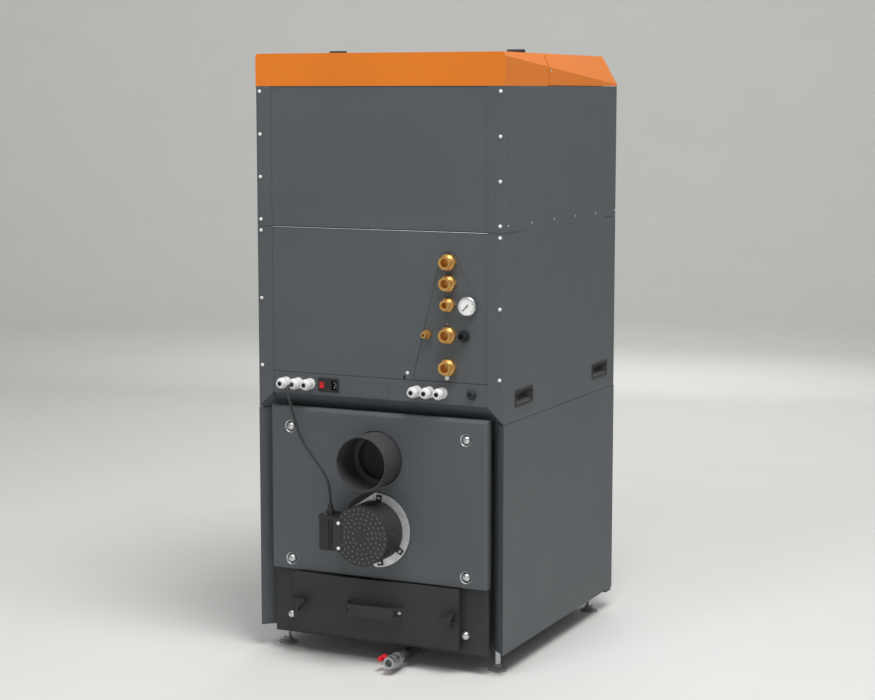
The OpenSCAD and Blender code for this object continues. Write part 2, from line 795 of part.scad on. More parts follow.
// Scooped recesses: the floor slopes down to the rim
module side_grips_right() {
    wall = grip_wall[0];
    rim = grip_wall[1];
    color("#2a2b2c") for (y = [-grip_inset[0] - grip_w, -body_d + grip_inset[1]])
        translate([half_w - grip_d, y, lower_top_z + grip_z]) difference() {
            union() {
                translate([0, wall, wall]) cube([grip_d, grip_w - 2 * wall, grip_h - 2 * wall]);
                translate([grip_d, 0, 0]) cube([1.5, grip_w, grip_h]);
            }
            translate([0, grip_w - rim, 0]) rotate([90, 0, 0]) linear_extrude(grip_w - 2 * rim)
                polygon([[grip_d + 2, rim], [grip_d + 2, grip_h - rim], [wall, grip_h - rim],
                         [wall, grip_h / 2]]);
        }
}

module side_grips_left() {
    mirror([1, 0, 0]) side_grips_right();
}

// Feet and drain
module at_feet() {
    for (x = [-foot_x, foot_x], y = [-foot_inset, -body_d + foot_inset]) translate([x, y, 0]) children();
}

module foot_studs() {
    seat = foot_h * 0.6;
    color(zinc) at_feet() translate([0, 0, seat]) cylinder(r = stud_r, h = body_bottom_z - seat);
}

module foot_pads() {
    seat = foot_h * 0.6;
    hub_r = stud_r + 3;
    color(dark) at_feet() difference() {
        rotate_extrude() polygon([[0, 0], [foot_r, 0], [foot_r, foot_h / 4], [hub_r, seat], [hub_r, foot_h],
                                  [0, foot_h]]);
        translate([0, 0, seat]) cylinder(r = stud_r, h = foot_h);
    }
}

valve_y = 38;
elbow_y = -120;
module drain_pipe() {
    bend = body_bottom_z - drain_z;
    color("#2b2d2e") {
        along_y(drain_x, elbow_y, drain_z) cylinder(r = drain_r, h = valve_y - elbow_y);
        translate([drain_x, elbow_y, drain_z + bend]) rotate([0, 90, 0]) rotate([0, 0, 180])
            rotate_extrude(angle = -90) translate([-bend, 0]) circle(drain_r);
    }
}

// Union nut, ribbed body, outlet and the stem of the lever
module drain_valve() {
    outlet_r = drain_r + 3;
    body_len = 35;
    nut_len = 10;
    color("#a9acad") {
        along_y(drain_x, valve_y, drain_z) difference() {
            union() {
                cylinder(r = outlet_r + 1, h = nut_len, $fn = 8);
                translate([0, 0, nut_len - 1]) cylinder(r = outlet_r - 0.5, h = body_len);
                for (z = [nut_len + 3, body_len - 4, body_len + 3])
                    translate([0, 0, z]) cylinder(r = outlet_r + 1.5, h = 4);
                translate([0, 0, body_len]) cylinder(r = outlet_r, h = drain_reach - valve_y - body_len);
            }
            translate([0, 0, body_len + 2]) cylinder(r = drain_r - 2, h = drain_reach);
        }
        translate([drain_x, valve_y + 22, drain_z]) rotate([0, 90, 0]) cylinder(r = 6.5, h = 20);
    }
}

module drain_lever() {
    color("#d8232f") translate([drain_x + 20.3, valve_y + 22, drain_z]) rotate([0, 90, 0]) {
        cylinder(r = 6, h = 8);
        translate([0, 0, 8]) linear_extrude(9) {
            circle(6);
            translate([-3, -lever_len / 2 + 6]) square([6, lever_len - 12]);
            for (side = [-1, 1]) translate([0, side * (lever_len / 2 - 6)]) circle(6);
        }
    }
}

// Hopper and lid
module opening_plan(grow) {
    translate([-bin_half_w - grow, -body_d + bin_front - grow])
        square([2 * (bin_half_w + grow), body_d - bin_front - bin_rear + 2 * grow]);
}

module hopper_deck() {
    inner = half_w - sheet;
    color(grey) translate([0, 0, deck_z - sheet]) linear_extrude(sheet) difference() {
        translate([-inner, -body_d + 2 * sheet]) square([2 * inner, body_d - 4 * sheet]);
        opening_plan(0);
    }
}

module funnel(grow) {
    half = outlet_w / 2 + grow;
    middle_y = (-body_d + bin_front - bin_rear) / 2;
    wall_z = deck_z - sheet - bin_wall_h;
    hull() {
        translate([0, 0, wall_z]) linear_extrude(0.01) opening_plan(grow);
        block([-half, half], [middle_y - half, middle_y + half],
              [wall_z - funnel_h, wall_z - funnel_h + 0.01]);
    }
}

module hopper_bin() {
    wall_z = deck_z - sheet - bin_wall_h;
    color(zinc) difference() {
        union() {
            translate([0, 0, wall_z]) linear_extrude(bin_wall_h) opening_plan(bin_t);
            funnel(bin_t);
        }
        translate([0, 0, wall_z - 0.02]) linear_extrude(bin_wall_h + 1) opening_plan(0);
        funnel(0);
    }
}

module lid_seal() {
    grow = 4;
    color("#1c1c1c") translate([0, 0, deck_z]) linear_extrude(seal_h) difference() {
        opening_plan(grow + seal_w);
        opening_plan(grow);
    }
}

// The lid's outside, drawn in by an inset: a flat top, slanted side facets and a raked front
module lid_form(inset, z0) {
    w = half_w - inset;
    y0 = -inset;
    y1 = -body_d + inset;
    y2 = -body_d + lid_front_rake + inset;
    top = lid_top_z - inset;
    side_rear = hopper_top_z + lid_side_rear_h - inset * 0.7;
    side_front = hopper_top_z + lid_side_front_h - inset * 0.3;
    slope = (side_rear - side_front) / (y0 - y1);
    run_rear = (top - side_rear) * facet_run;
    run_front = (top - side_rear + slope * (y0 - y2)) * facet_run;
    half = [[w, y0, z0], [w, y1, z0], [w, y1, side_front], [w, y0, side_rear], [w - run_rear, y0, top],
            [w - run_front, y2, top]];
    hull() polyhedron(points = concat(half, [for (p = half) [-p[0], p[1], p[2]]]),
                      faces = [[0, 1, 2], [6, 7, 8], [3, 4, 5], [9, 10, 11]]);
}

module lid_rear_cover() {
    front = axis_y + lid_gap / 2;
    color(orange) difference() {
        intersection() {
            lid_form(0, hopper_top_z);
            block([-body_w, body_w], [front, 1], [0, 2 * lid_top_z]);
        }
        intersection() {
            lid_form(sheet, hopper_top_z - 1);
            block([-body_w, body_w], [front + sheet, 1], [0, 2 * lid_top_z]);
        }
    }
}

module lid_flap() {
    rear = axis_y - lid_gap / 2;
    color(orange) difference() {
        intersection() {
            lid_form(0, flap_bottom_z);
            block([-body_w, body_w], [-2 * body_d, rear], [0, 2 * lid_top_z]);
        }
        intersection() {
            lid_form(sheet, flap_bottom_z + sheet);
            block([-body_w, body_w], [-2 * body_d, rear - sheet], [0, 2 * lid_top_z]);
        }
        translate([0, 0, flap_bottom_z - 1]) linear_extrude(sheet + 2)
            translate([-half_w + sheet + 2 * rim_w, -body_d + sheet + 2 * rim_w])
                square([body_w - 2 * sheet - 4 * rim_w, body_d + rear - 2 * sheet - 4 * rim_w]);
    }
}

module at_hinges() {
    for (x = [-hinge_x, hinge_x]) translate([x, axis_y, 0]) children();
}

module rod(r, x0, x1) {
    translate([x0, 0, axis_z]) rotate([0, 90, 0]) cylinder(r = r, h = x1 - x0);
}

// Leaf on the rear cover with the middle knuckle and the pin
module lid_hinges_fixed() {
    third = hinge_w / 6;
    color(dark) at_hinges() {
        block([-hinge_w / 2, hinge_w / 2], [knuckle_r + 1, leaf_d], [lid_top_z, lid_top_z + leaf_t]);
        block([-third, third], [0, knuckle_r + 2], [lid_top_z + 0.5, lid_top_z + leaf_t]);
        rod(knuckle_r, -third, third);
        rod(pin_r, -hinge_w / 2, hinge_w / 2);
    }
}

// Leaf on the flap with the two outer knuckles
module lid_hinges_moving() {
    third = hinge_w / 6 + 0.5;
    color(dark) at_hinges() {
        block([-hinge_w / 2, hinge_w / 2], [-leaf_d, -knuckle_r - 1], [lid_top_z, lid_top_z + leaf_t]);
        for (side = [0, 1]) mirror([side, 0, 0]) difference() {
            union() {
                block([third, hinge_w / 2], [-knuckle_r - 2, 0], [lid_top_z + 0.5, lid_top_z + leaf_t]);
                rod(knuckle_r, third, hinge_w / 2);
            }
            rod(pin_r + pin_clear, 0, hinge_w);
        }
    }
}

module placed() {
    translate([0, rear_y, 0]) children();
}

placed() boiler_body();
placed() lower_side_panel_left();
placed() lower_side_panel_right();
placed() front_lower_panel();
placed() mid_side_panel_left();
placed() mid_side_panel_right();
placed() front_mid_panel();
placed() hopper_side_panel_left();
placed() hopper_side_panel_right();
placed() front_hopper_panel();
placed() hopper_rear_panel();
placed() connection_panel();
placed() fittings_plate();
placed() gland_strip();
placed() corner_gussets();
placed() rear_cover();
placed() ash_panel();
placed() ash_cover();
placed() ash_cover_handle();
placed() ash_cover_knobs();
placed() flue_spigot();
placed() fan_gasket();
placed() fan_plate();
placed() fan_guard();
placed() fan_motor();
placed() fan_terminal_box();
placed() fan_strain_relief();
placed() fan_cord();
placed() cable_glands();
placed() power_inlet();
placed() rocker_switch();
placed() rubber_grommet();
placed() water_fittings();
placed() hose_nipple();
placed() union_cap();
placed() pressure_gauge();
placed() side_grips_left();
placed() side_grips_right();
placed() foot_studs();
placed() foot_pads();
placed() drain_pipe();
placed() drain_valve();
placed() drain_lever();
placed() hopper_deck();
placed() hopper_ledges();
placed() hopper_bin();
placed() lid_seal();
placed() lid_rear_cover();
placed() lid_flap();
placed() lid_hinges_fixed();
placed() lid_hinges_moving();
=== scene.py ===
import math

import bmesh
import bpy
from bpy.props import FloatProperty, FloatVectorProperty, PointerProperty
from mathutils import Matrix, Vector


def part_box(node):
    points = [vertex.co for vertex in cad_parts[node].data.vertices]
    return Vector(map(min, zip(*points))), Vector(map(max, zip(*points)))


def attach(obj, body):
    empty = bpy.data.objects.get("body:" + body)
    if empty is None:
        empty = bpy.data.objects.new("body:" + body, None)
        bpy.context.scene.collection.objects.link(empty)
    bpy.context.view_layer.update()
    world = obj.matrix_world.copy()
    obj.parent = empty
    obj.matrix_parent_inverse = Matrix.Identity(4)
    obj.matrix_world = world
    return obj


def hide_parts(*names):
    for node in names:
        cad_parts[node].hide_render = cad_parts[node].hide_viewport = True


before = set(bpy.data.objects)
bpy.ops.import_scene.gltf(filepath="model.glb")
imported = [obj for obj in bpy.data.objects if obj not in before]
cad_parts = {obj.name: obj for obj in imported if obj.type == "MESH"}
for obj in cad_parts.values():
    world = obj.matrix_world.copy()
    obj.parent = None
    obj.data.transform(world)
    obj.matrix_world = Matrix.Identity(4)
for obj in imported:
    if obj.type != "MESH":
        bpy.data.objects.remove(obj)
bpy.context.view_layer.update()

bl_info = {
    "name": "Pellet Boiler",
    "version": (1, 0, 0),
    "blender": (4, 5, 0),
    "location": "3D View > Sidebar > Boiler",
    "description": "Dresses the pellet boiler's solids with finishes, fasteners, dial, cable and studio",
    "category": "Object",
}

MM = 0.001

# Places taken from the solids
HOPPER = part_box("hopper_side_panel_right")
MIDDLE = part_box("mid_side_panel_right")
REAR_Y = HOPPER[1].y
SIDE_X = HOPPER[1].x
PANEL_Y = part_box("connection_panel")[1].y
PLATE_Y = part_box("fittings_plate")[1].y
STRIP_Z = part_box("gland_strip")[1].z
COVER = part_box("rear_cover")
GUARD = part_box("fan_guard")
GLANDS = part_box("cable_glands")
FAN_Z = sum(corner.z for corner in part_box("fan_gasket")) / 2

# Axes that pieces stand out along
REARWARD = (0, 1, 0)
UP = (0, 0, 1)


def linear(code):
    """One sRGB hex colour as linear red, green and blue."""
    values = [int(code[i:i + 2], 16) / 255 for i in (1, 3, 5)]
    return [v / 12.92 if v <= 0.04045 else ((v + 0.055) / 1.055) ** 2.4 for v in values]


def colour(name, description, code):
    """A colour property with its default written as an sRGB hex value."""
    return FloatVectorProperty(name=name, description=description, subtype="COLOR", size=3, min=0, max=1,
                               default=linear(code))


def length(name, description, millimetres):
    """A length property with its default in millimetres."""
    return FloatProperty(name=name, description=description, default=millimetres * MM, min=0, unit="LENGTH")


class BoilerColours(bpy.types.PropertyGroup):
    """Colours of the boiler's finishes"""

    cladding: colour("Cladding", "Grey powder coat on the panels", "#565B5F")
    lid: colour("Lid", "Orange powder coat on the lid", "#E87E1E")
    steel: colour("Black steel", "Black painted steel", "#353535")
    zinc: colour("Zinc", "Galvanised and zinc plated steel", "#DCDDDD")
    brass: colour("Brass", "Machined brass fittings", "#DCAA62")
    plastic: colour("Black plastic", "Moulded black plastic", "#2A2B2C")
    white: colour("White plastic", "Moulded white glands and screw caps", "#EDEEEE")
    red: colour("Red plastic", "Rocker and drain lever", "#D8232F")
    rubber: colour("Rubber", "Cable sheath, gaskets and grommet", "#2E3032")
    flue: colour("Flue", "Enamelled flue spigot", "#464548")
    motor: colour("Fan motor", "Cast aluminium motor drum inside the guard", "#D6D7D8")
    gauze: colour("Guard gauze", "Woven wire behind the guard's holes", "#989999")
    # The grip scoops' paler colour is painted light, standing in for light that falls onto their floors
    grip: colour("Grip scoops", "Paler inside of the carrying grips", "#5A5B59")
    foot: colour("Foot pads", "Moulded grey levelling feet", "#86888A")
    valve: colour("Drain valve", "Cast and nickel plated drain valve", "#B6B8BA")
    floor: colour("Floor", "Studio floor and backdrop", "#E4E4E2")


class BoilerSizes(bpy.types.PropertyGroup):
    """Sizes of the small pieces"""

    cap_radius: length("Screw cap", "Radius of the white caps on the rear flanges", 4.2)
    side_screw: length("Side screw", "Radius of the small screws on the sides", 2.8)
    nut_radius: length("Cap nut", "Radius of the nickel plated cap nuts", 10.4)
    thread_pitch: length("Thread pitch", "Pitch of the thread on the water fittings", 2.3)
    cord_diameter: length("Cable", "Diameter of the fan cable", 6.5)


def settings():
    """The scene's own sizes and colours."""
    return bpy.context.scene.boiler_sizes, bpy.context.scene.boiler_colours


# Materials

# Specular level of every finish
SPECULAR_LEVEL = 0.4
# The range that most of a noise's values lie in
NOISE_LOW = 0.3
NOISE_HIGH = 0.7
# What the wave texture multiplies its coordinate by before it takes the sine
WAVE_STEP = 20
# How far behind the side panels' face a carrying grip's dark rim ends and the painted light of its scoop
# begins
GRIP_RIM_DEPTH = 1 * MM


def add(tree, kind, links=(), inputs=None, **choices):
    """One node with its choices, its inputs' values and the links into it: (input, node, output) rows."""
    node = tree.nodes.new(kind)
    for key, value in choices.items():
        setattr(node, key, value)
    for socket, value in (inputs or {}).items():
        node.inputs[socket].default_value = value
    for socket, source, output in links:
        tree.links.new(source.outputs[output], node.inputs[socket])
    return node


def tone(base, factor):
    """A colour made lighter or darker, with full alpha."""
    return (*[min(1, c * factor) for c in base], 1)


def new_material(name, base, metallic, roughness):
    """A material with its shader's plain values set, its tree and its Object coordinates."""
    material = bpy.data.materials.new(name)
    material.use_nodes = True
    tree = material.node_tree
    shader = tree.nodes["Principled BSDF"]
    shader.inputs["Base Color"].default_value = (*base, 1)
    shader.inputs["Metallic"].default_value = metallic
    shader.inputs["Roughness"].default_value = roughness
    shader.inputs["Specular IOR Level"].default_value = SPECULAR_LEVEL
    material.diffuse_color = (*base, 1)
    return material, tree, shader, add(tree, "ShaderNodeTexCoord")


def clouds(tree, shader, place, base, size_mm, spread, rough, detail=3.0):
    """Clouds of a real size in millimetres that shift the colour a little and the roughness in a range."""
    noise = add(tree, "ShaderNodeTexNoise", [("Vector", place, "Object")],
                {"Scale": 1 / (size_mm * MM), "Detail": detail})
    ramp = add(tree, "ShaderNodeValToRGB", [("Fac", noise, "Fac")])
    ramp.color_ramp.elements[0].position = NOISE_LOW
    ramp.color_ramp.elements[1].position = NOISE_HIGH
    ramp.color_ramp.elements[0].color = tone(base, 1 - spread)
    ramp.color_ramp.elements[1].color = tone(base, 1 + spread)
    tree.links.new(ramp.outputs["Color"], shader.inputs["Base Color"])
    gloss = add(tree, "ShaderNodeMapRange", [("Value", noise, "Fac")],
                {"From Min": NOISE_LOW, "From Max": NOISE_HIGH, "To Min": rough[0], "To Max": rough[1]})
    tree.links.new(gloss.outputs["Result"], shader.inputs["Roughness"])


def grain(tree, shader, place, spacing_mm, depth_mm, strength):
    """Bump from a noise whose grain has a real spacing and depth in millimetres."""
    noise = add(tree, "ShaderNodeTexNoise", [("Vector", place, "Object")],
                {"Scale": 1 / (spacing_mm * MM), "Detail": 2})
    bump = add(tree, "ShaderNodeBump", [("Height", noise, "Fac")],
               {"Strength": strength, "Distance": depth_mm * MM})
    tree.links.new(bump.outputs["Normal"], shader.inputs["Normal"])


def powder_coat(name, base):
    """Powder coat on sheet steel: an even satin film with a fine orange peel and faint clouds of gloss."""
    material, tree, shader, place = new_material(name, base, metallic=0, roughness=0.5)
    clouds(tree, shader, place, base, size_mm=200, spread=0.035, rough=(0.46, 0.56))
    grain(tree, shader, place, spacing_mm=2.2, depth_mm=0.05, strength=0.25)
    return material


def matt_paint(name, base):
    """Stoved dark paint on hot steel: matt, with a dusty drift in tone and a fine grit."""
    material, tree, shader, place = new_material(name, base, metallic=0, roughness=0.62)
    clouds(tree, shader, place, base, size_mm=110, spread=0.12, rough=(0.52, 0.7), detail=6)
    grain(tree, shader, place, spacing_mm=1.4, depth_mm=0.06, strength=0.3)
    return material


def galvanised(base):
    """Hot dip galvanised sheet: a spangle of flat crystals about 8 mm across, each lighter or darker."""
    material, tree, shader, place = new_material("galvanised_sheet", base, metallic=0.5, roughness=0.42)
    cells = add(tree, "ShaderNodeTexVoronoi", [("Vector", place, "Object")], {"Scale": 1 / (8 * MM)})
    chance = add(tree, "ShaderNodeSeparateColor", [("Color", cells, "Color")])
    ramp = add(tree, "ShaderNodeValToRGB", [("Fac", chance, "Red")])
    ramp.color_ramp.elements[0].color = tone(base, 0.86)
    ramp.color_ramp.elements[1].color = tone(base, 1.08)
    tree.links.new(ramp.outputs["Color"], shader.inputs["Base Color"])
    gloss = add(tree, "ShaderNodeMapRange", [("Value", chance, "Green")], {"To Min": 0.34, "To Max": 0.5})
    tree.links.new(gloss.outputs["Result"], shader.inputs["Roughness"])
    return material


def machined_brass(base):
    """Turned brass bar: fine lathe rings 1.2 mm apart along the fitting's axis and a light tarnish."""
    material, tree, shader, place = new_material("machined_brass", base, metallic=0.75, roughness=0.42)
    clouds(tree, shader, place, base, size_mm=17, spread=0.1, rough=(0.36, 0.5))
    rings = add(tree, "ShaderNodeTexWave", [("Vector", place, "Object")],
                {"Scale": 2 * math.pi / (WAVE_STEP * 1.2 * MM)}, bands_direction="Y")
    bump = add(tree, "ShaderNodeBump", [("Height", rings, "Fac")], {"Strength": 0.15, "Distance": 0.05 * MM})
    tree.links.new(bump.outputs["Normal"], shader.inputs["Normal"])
    return material


def cast_aluminium(base):
    """Sand cast aluminium: a pale dull skin with a coarse grain."""
    material, tree, shader, place = new_material("cast_aluminium", base, metallic=0.2, roughness=0.6)
    clouds(tree, shader, place, base, size_mm=25, spread=0.06, rough=(0.52, 0.68))
    grain(tree, shader, place, spacing_mm=1.8, depth_mm=0.1, strength=0.4)
    return material


def woven_wire(base):
    """Plain woven steel wire at 1.5 mm pitch: a dull grey checked by its crossing wires."""
    material, tree, shader, place = new_material("woven_wire", base, metallic=0.2, roughness=0.55)
    checks = add(tree, "ShaderNodeTexChecker", [("Vector", place, "Object")],
                 {"Scale": 1 / (1.5 * MM), "Color1": tone(base, 0.85), "Color2": tone(base, 1.15)})
    tree.links.new(checks.outputs["Color"], shader.inputs["Base Color"])
    return material


def bright_plate(name, base, roughness):
    """Nickel, copper or zinc plate: bright metal with a faint cloud."""
    material, tree, shader, place = new_material(name, base, metallic=1, roughness=roughness)
    clouds(tree, shader, place, base, size_mm=11, spread=0.05, rough=(roughness * 0.8, roughness * 1.3))
    return material


def moulded(name, base, roughness):
    """Injection moulded plastic: one colour through, with a fine spark eroded grain."""
    material, tree, shader, place = new_material(name, base, metallic=0, roughness=roughness)
    clouds(tree, shader, place, base, size_mm=33, spread=0.05, rough=(roughness - 0.05, roughness + 0.06))
    grain(tree, shader, place, spacing_mm=0.8, depth_mm=0.03, strength=0.25)
    return material


def two_tone_grip(rim, painted_light_scoop):
    """Moulded carrying grip: dark on the rim that stands on the side panel, paler in the scoop behind it as
    painted light.
    """
    material, tree, shader, place = new_material("grip_abs", rim, metallic=0, roughness=0.5)
    axes = add(tree, "ShaderNodeSeparateXYZ", [("Vector", place, "Object")])
    reach = add(tree, "ShaderNodeMath", [(0, axes, "X")], operation="ABSOLUTE")
    # The paler colour deeper than the rim is painted light in the scoop
    share = add(tree, "ShaderNodeMapRange", [("Value", reach, "Value")],
                {"From Min": SIDE_X - GRIP_RIM_DEPTH, "From Max": SIDE_X})
    ramp = add(tree, "ShaderNodeValToRGB", [("Fac", share, "Result")])
    ramp.color_ramp.elements[0].color = (*painted_light_scoop, 1)
    ramp.color_ramp.elements[1].color = (*rim, 1)
    tree.links.new(ramp.outputs["Color"], shader.inputs["Base Color"])
    grain(tree, shader, place, spacing_mm=0.8, depth_mm=0.03, strength=0.25)
    return material


def rubber(base):
    """Extruded rubber and PVC sheath: dull black with a soft bloom."""
    material, tree, shader, place = new_material("black_rubber", base, metallic=0, roughness=0.6)
    clouds(tree, shader, place, base, size_mm=25, spread=0.15, rough=(0.5, 0.66))
    grain(tree, shader, place, spacing_mm=1.0, depth_mm=0.04, strength=0.2)
    return material


def clear_glass():
    """Flat gauge glass: thin and clear, seen as a faint gloss over the dial."""
    material, _, shader, _ = new_material("gauge_glass", (1, 1, 1), metallic=0, roughness=0.05)
    shader.inputs["Alpha"].default_value = 0.03
    return material


MADE = {}


def make_materials():
    """All finishes, kept by plain names."""
    _, hues = settings()
    MADE["cladding"] = powder_coat("grey_powder_coat", hues.cladding)
    MADE["lid"] = powder_coat("orange_powder_coat", hues.lid)
    MADE["steel"] = matt_paint("stoved_black_paint", hues.steel)
    MADE["flue"] = matt_paint("flue_enamel", hues.flue)
    MADE["zinc"] = galvanised(hues.zinc)
    MADE["brass"] = machined_brass(hues.brass)
    MADE["motor"] = cast_aluminium(hues.motor)
    MADE["gauze"] = woven_wire(hues.gauze)
    MADE["nickel"] = bright_plate("nickel_plate", linear("#D6D8DA"), roughness=0.36)
    MADE["copper"] = bright_plate("copper_screw", linear("#B89484"), roughness=0.45)
    MADE["stud"] = bright_plate("zinc_plate", linear("#BFC2C6"), roughness=0.38)
    MADE["plastic"] = moulded("black_abs", hues.plastic, roughness=0.5)
    MADE["white"] = moulded("white_polyamide", hues.white, roughness=0.35)
    MADE["red"] = moulded("red_abs", hues.red, roughness=0.32)
    MADE["grip"] = two_tone_grip(hues.plastic, hues.grip)
    MADE["foot"] = moulded("grey_polyamide", hues.foot, roughness=0.5)
    MADE["valve"] = bright_plate("cast_nickel", hues.valve, roughness=0.42)
    MADE["rubber"] = rubber(hues.rubber)
    MADE["dial"] = moulded("white_dial_enamel", linear("#FBFBFA"), roughness=0.45)
    MADE["ink"] = moulded("black_dial_ink", linear("#191A1B"), roughness=0.5)
    MADE["glass"] = clear_glass()


NODE_FINISH = {
    "cladding": ["corner_gussets", "rear_cover", "hopper_deck", "fittings_plate", "gland_strip",
                 "connection_panel", "hopper_rear_panel", "front_lower_panel", "front_mid_panel",
                 "front_hopper_panel", "lower_side_panel_left", "lower_side_panel_right",
                 "mid_side_panel_left", "mid_side_panel_right", "hopper_side_panel_left",
                 "hopper_side_panel_right"],
    "lid": ["lid_rear_cover", "lid_flap"],
    "steel": ["boiler_body", "ash_panel", "ash_cover", "ash_cover_handle", "fan_guard", "drain_pipe",
              "lid_hinges_fixed", "lid_hinges_moving"],
    "flue": ["flue_spigot"],
    "motor": ["fan_motor"],
    "zinc": ["fan_plate", "hopper_ledges", "hopper_bin"],
    "stud": ["foot_studs"],
    "valve": ["drain_valve"],
    "foot": ["foot_pads"],
    "brass": ["water_fittings", "hose_nipple"],
    "plastic": ["ash_cover_knobs", "fan_terminal_box", "fan_strain_relief", "power_inlet", "union_cap"],
    "grip": ["side_grips_left", "side_grips_right"],
    "white": ["cable_glands"],
    "nickel": ["pressure_gauge"],
    "red": ["rocker_switch", "drain_lever"],
    "rubber": ["rubber_grommet", "fan_gasket", "lid_seal", "fan_cord"],
}


# Mesh helpers

# Angle between faces past which an edge stays sharp
SHARP_ANGLE = math.radians(35)
# Distance within which a revolved shape's vertices are one
MERGE_DISTANCE = 1e-6
# Height beyond the pipe's surface and share of the pitch at the corners of a thread's section
THREAD_SECTION = [(-0.3 * MM, 0), (0.5 * MM, 0.45), (-0.3 * MM, 0.9)]
# Share of a round cap's height that its upright rim takes, and the rows of its crown
CAP_RIM_SHARE = 0.3
CAP_ROWS = 6
# Straight stretches in a plate's round corner
CORNER_STEPS = 6


def piece(name, bm, material, body="boiler", smooth=True):
    """Turns a bmesh into an object at the origin that rides on a body."""
    bmesh.ops.recalc_face_normals(bm, faces=bm.faces)
    mesh = bpy.data.meshes.new(name)
    bm.to_mesh(mesh)
    bm.free()
    mesh.materials.append(MADE[material])
    if smooth:
        mesh.shade_smooth()
        mesh.set_sharp_from_angle(angle=SHARP_ANGLE)
    obj = bpy.data.objects.new(name, mesh)
    bpy.context.scene.collection.objects.link(obj)
    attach(obj, body)


def facing(at, axis=REARWARD):
    """Matrix that takes +Z to an outward axis and the origin to a place."""
    turn = Vector(UP).rotation_difference(Vector(axis)).to_matrix().to_4x4()
    return Matrix.Translation(Vector(at)) @ turn


def added(bm, before):
    """The vertices that a bmesh has gained."""
    return [vert for vert in bm.verts if vert not in before]


def lathe(bm, profile, matrix, steps=24):
    """Revolves (radius, height) points about the matrix's Z axis."""
    before = set(bm.verts)
    verts = [bm.verts.new((r, 0, h)) for r, h in profile]
    edges = [bm.edges.new(pair) for pair in zip(verts, verts[1:])]
    bmesh.ops.spin(bm, geom=verts + edges, cent=(0, 0, 0), axis=UP, dvec=(0, 0, 0), angle=2 * math.pi,
                   steps=steps, use_merge=True, use_duplicate=False)
    bmesh.ops.remove_doubles(bm, verts=added(bm, before), dist=MERGE_DISTANCE)
    bmesh.ops.transform(bm, matrix=matrix, verts=added(bm, before))


def thread(bm, matrix, radius, low, high, pitch, steps=28):
    """A helical ridge with a triangular section between two heights."""
    before = set(bm.verts)
    turns = (high - low - pitch) / pitch
    count = round(steps * turns)
    corners = [(radius + rise, 0, low + pitch * share) for rise, share in THREAD_SECTION]
    face = bm.faces.new([bm.verts.new(at) for at in corners])
    bmesh.ops.spin(bm, geom=[face], cent=(0, 0, 0), axis=UP, dvec=(0, 0, pitch * turns / count),
                   angle=2 * math.pi * turns, steps=count, use_merge=False, use_duplicate=False)
    bmesh.ops.transform(bm, matrix=matrix, verts=added(bm, before))


def quarter(rows):
    """Angles of a quarter turn's rows, without its end."""
    return [i * math.pi / 2 / rows for i in range(rows)]


def dome(bm, at, axis, radius, height, steps=20):
    """A round cap with a short rim."""
    crown = 1 - CAP_RIM_SHARE
    arc = [(radius * math.cos(a), height * (CAP_RIM_SHARE + crown * math.sin(a))) for a in quarter(CAP_ROWS)]
    lathe(bm, [(0, 0), (radius, 0), *arc, (0, height)], facing(at, axis), steps)


def bar(bm, low, high):
    """A box between two corners."""
    low, high = Vector(low), Vector(high)
    made = bmesh.ops.create_cube(bm, size=1)["verts"]
    bmesh.ops.scale(bm, vec=high - low, verts=made)
    bmesh.ops.translate(bm, vec=(low + high) / 2, verts=made)
    return made


def turned(bm, verts, x, z, angle):
    """Turns vertices about a Y axis through the origin and moves the axis to a place."""
    move = Matrix.Translation((x, 0, z)) @ Matrix.Rotation(angle, 4, "Y")
    bmesh.ops.transform(bm, matrix=move, verts=verts)


def prism(bm, outline, along):
    """A closed outline's points drawn out along a vector."""
    face = bm.faces.new([bm.verts.new(at) for at in outline])
    grown = bmesh.ops.extrude_face_region(bm, geom=[face], use_keep_orig=True)["geom"]
    far = [part for part in grown if isinstance(part, bmesh.types.BMVert)]
    bmesh.ops.translate(bm, vec=along, verts=far)


def rounded_plate(bm, low, high, radius, thick):
    """A plate in the XZ plane with round corners, standing out to +Y by its thickness."""
    corners = [(high.x - radius, high.z - radius, 0), (low.x + radius, high.z - radius, 90),
               (low.x + radius, low.z + radius, 180), (high.x - radius, low.z + radius, 270)]
    outline = []
    for x, z, start in corners:
        for step in range(CORNER_STEPS + 1):
            angle = math.radians(start + step * 90 / CORNER_STEPS)
            outline.append((x + radius * math.cos(angle), low.y, z + radius * math.sin(angle)))
    prism(bm, outline, (0, thick, 0))


# Operators

# Sensor width and focal length in millimetres, place in metres and direction of view, from a perspective
# that was fitted to the panels' straight edges
CAMERA_SENSOR = 36
CAMERA_LENS = 81.49
CAMERA_PLACE = (-2.1113, REAR_Y + 4.1336, 1.3611)
CAMERA_LOOK = (0.4240, -0.8965, -0.1288)


class BOILER_OT_camera(bpy.types.Operator):
    """Camera at the photograph's viewing angle"""

    bl_idname = "boiler.camera"
    bl_label = "Camera"

    def execute(self, context):
        data = bpy.data.cameras.new("camera")
        data.sensor_width = CAMERA_SENSOR
        data.lens = CAMERA_LENS
        data.dof.use_dof = False
        camera = bpy.data.objects.new("camera", data)
        camera.location = CAMERA_PLACE
        camera.rotation_mode = "QUATERNION"
        camera.rotation_quaternion = Vector(CAMERA_LOOK).to_track_quat("-Z", "Y")
        context.scene.collection.objects.link(camera)
        context.scene.camera = camera
        return {"FINISHED"}


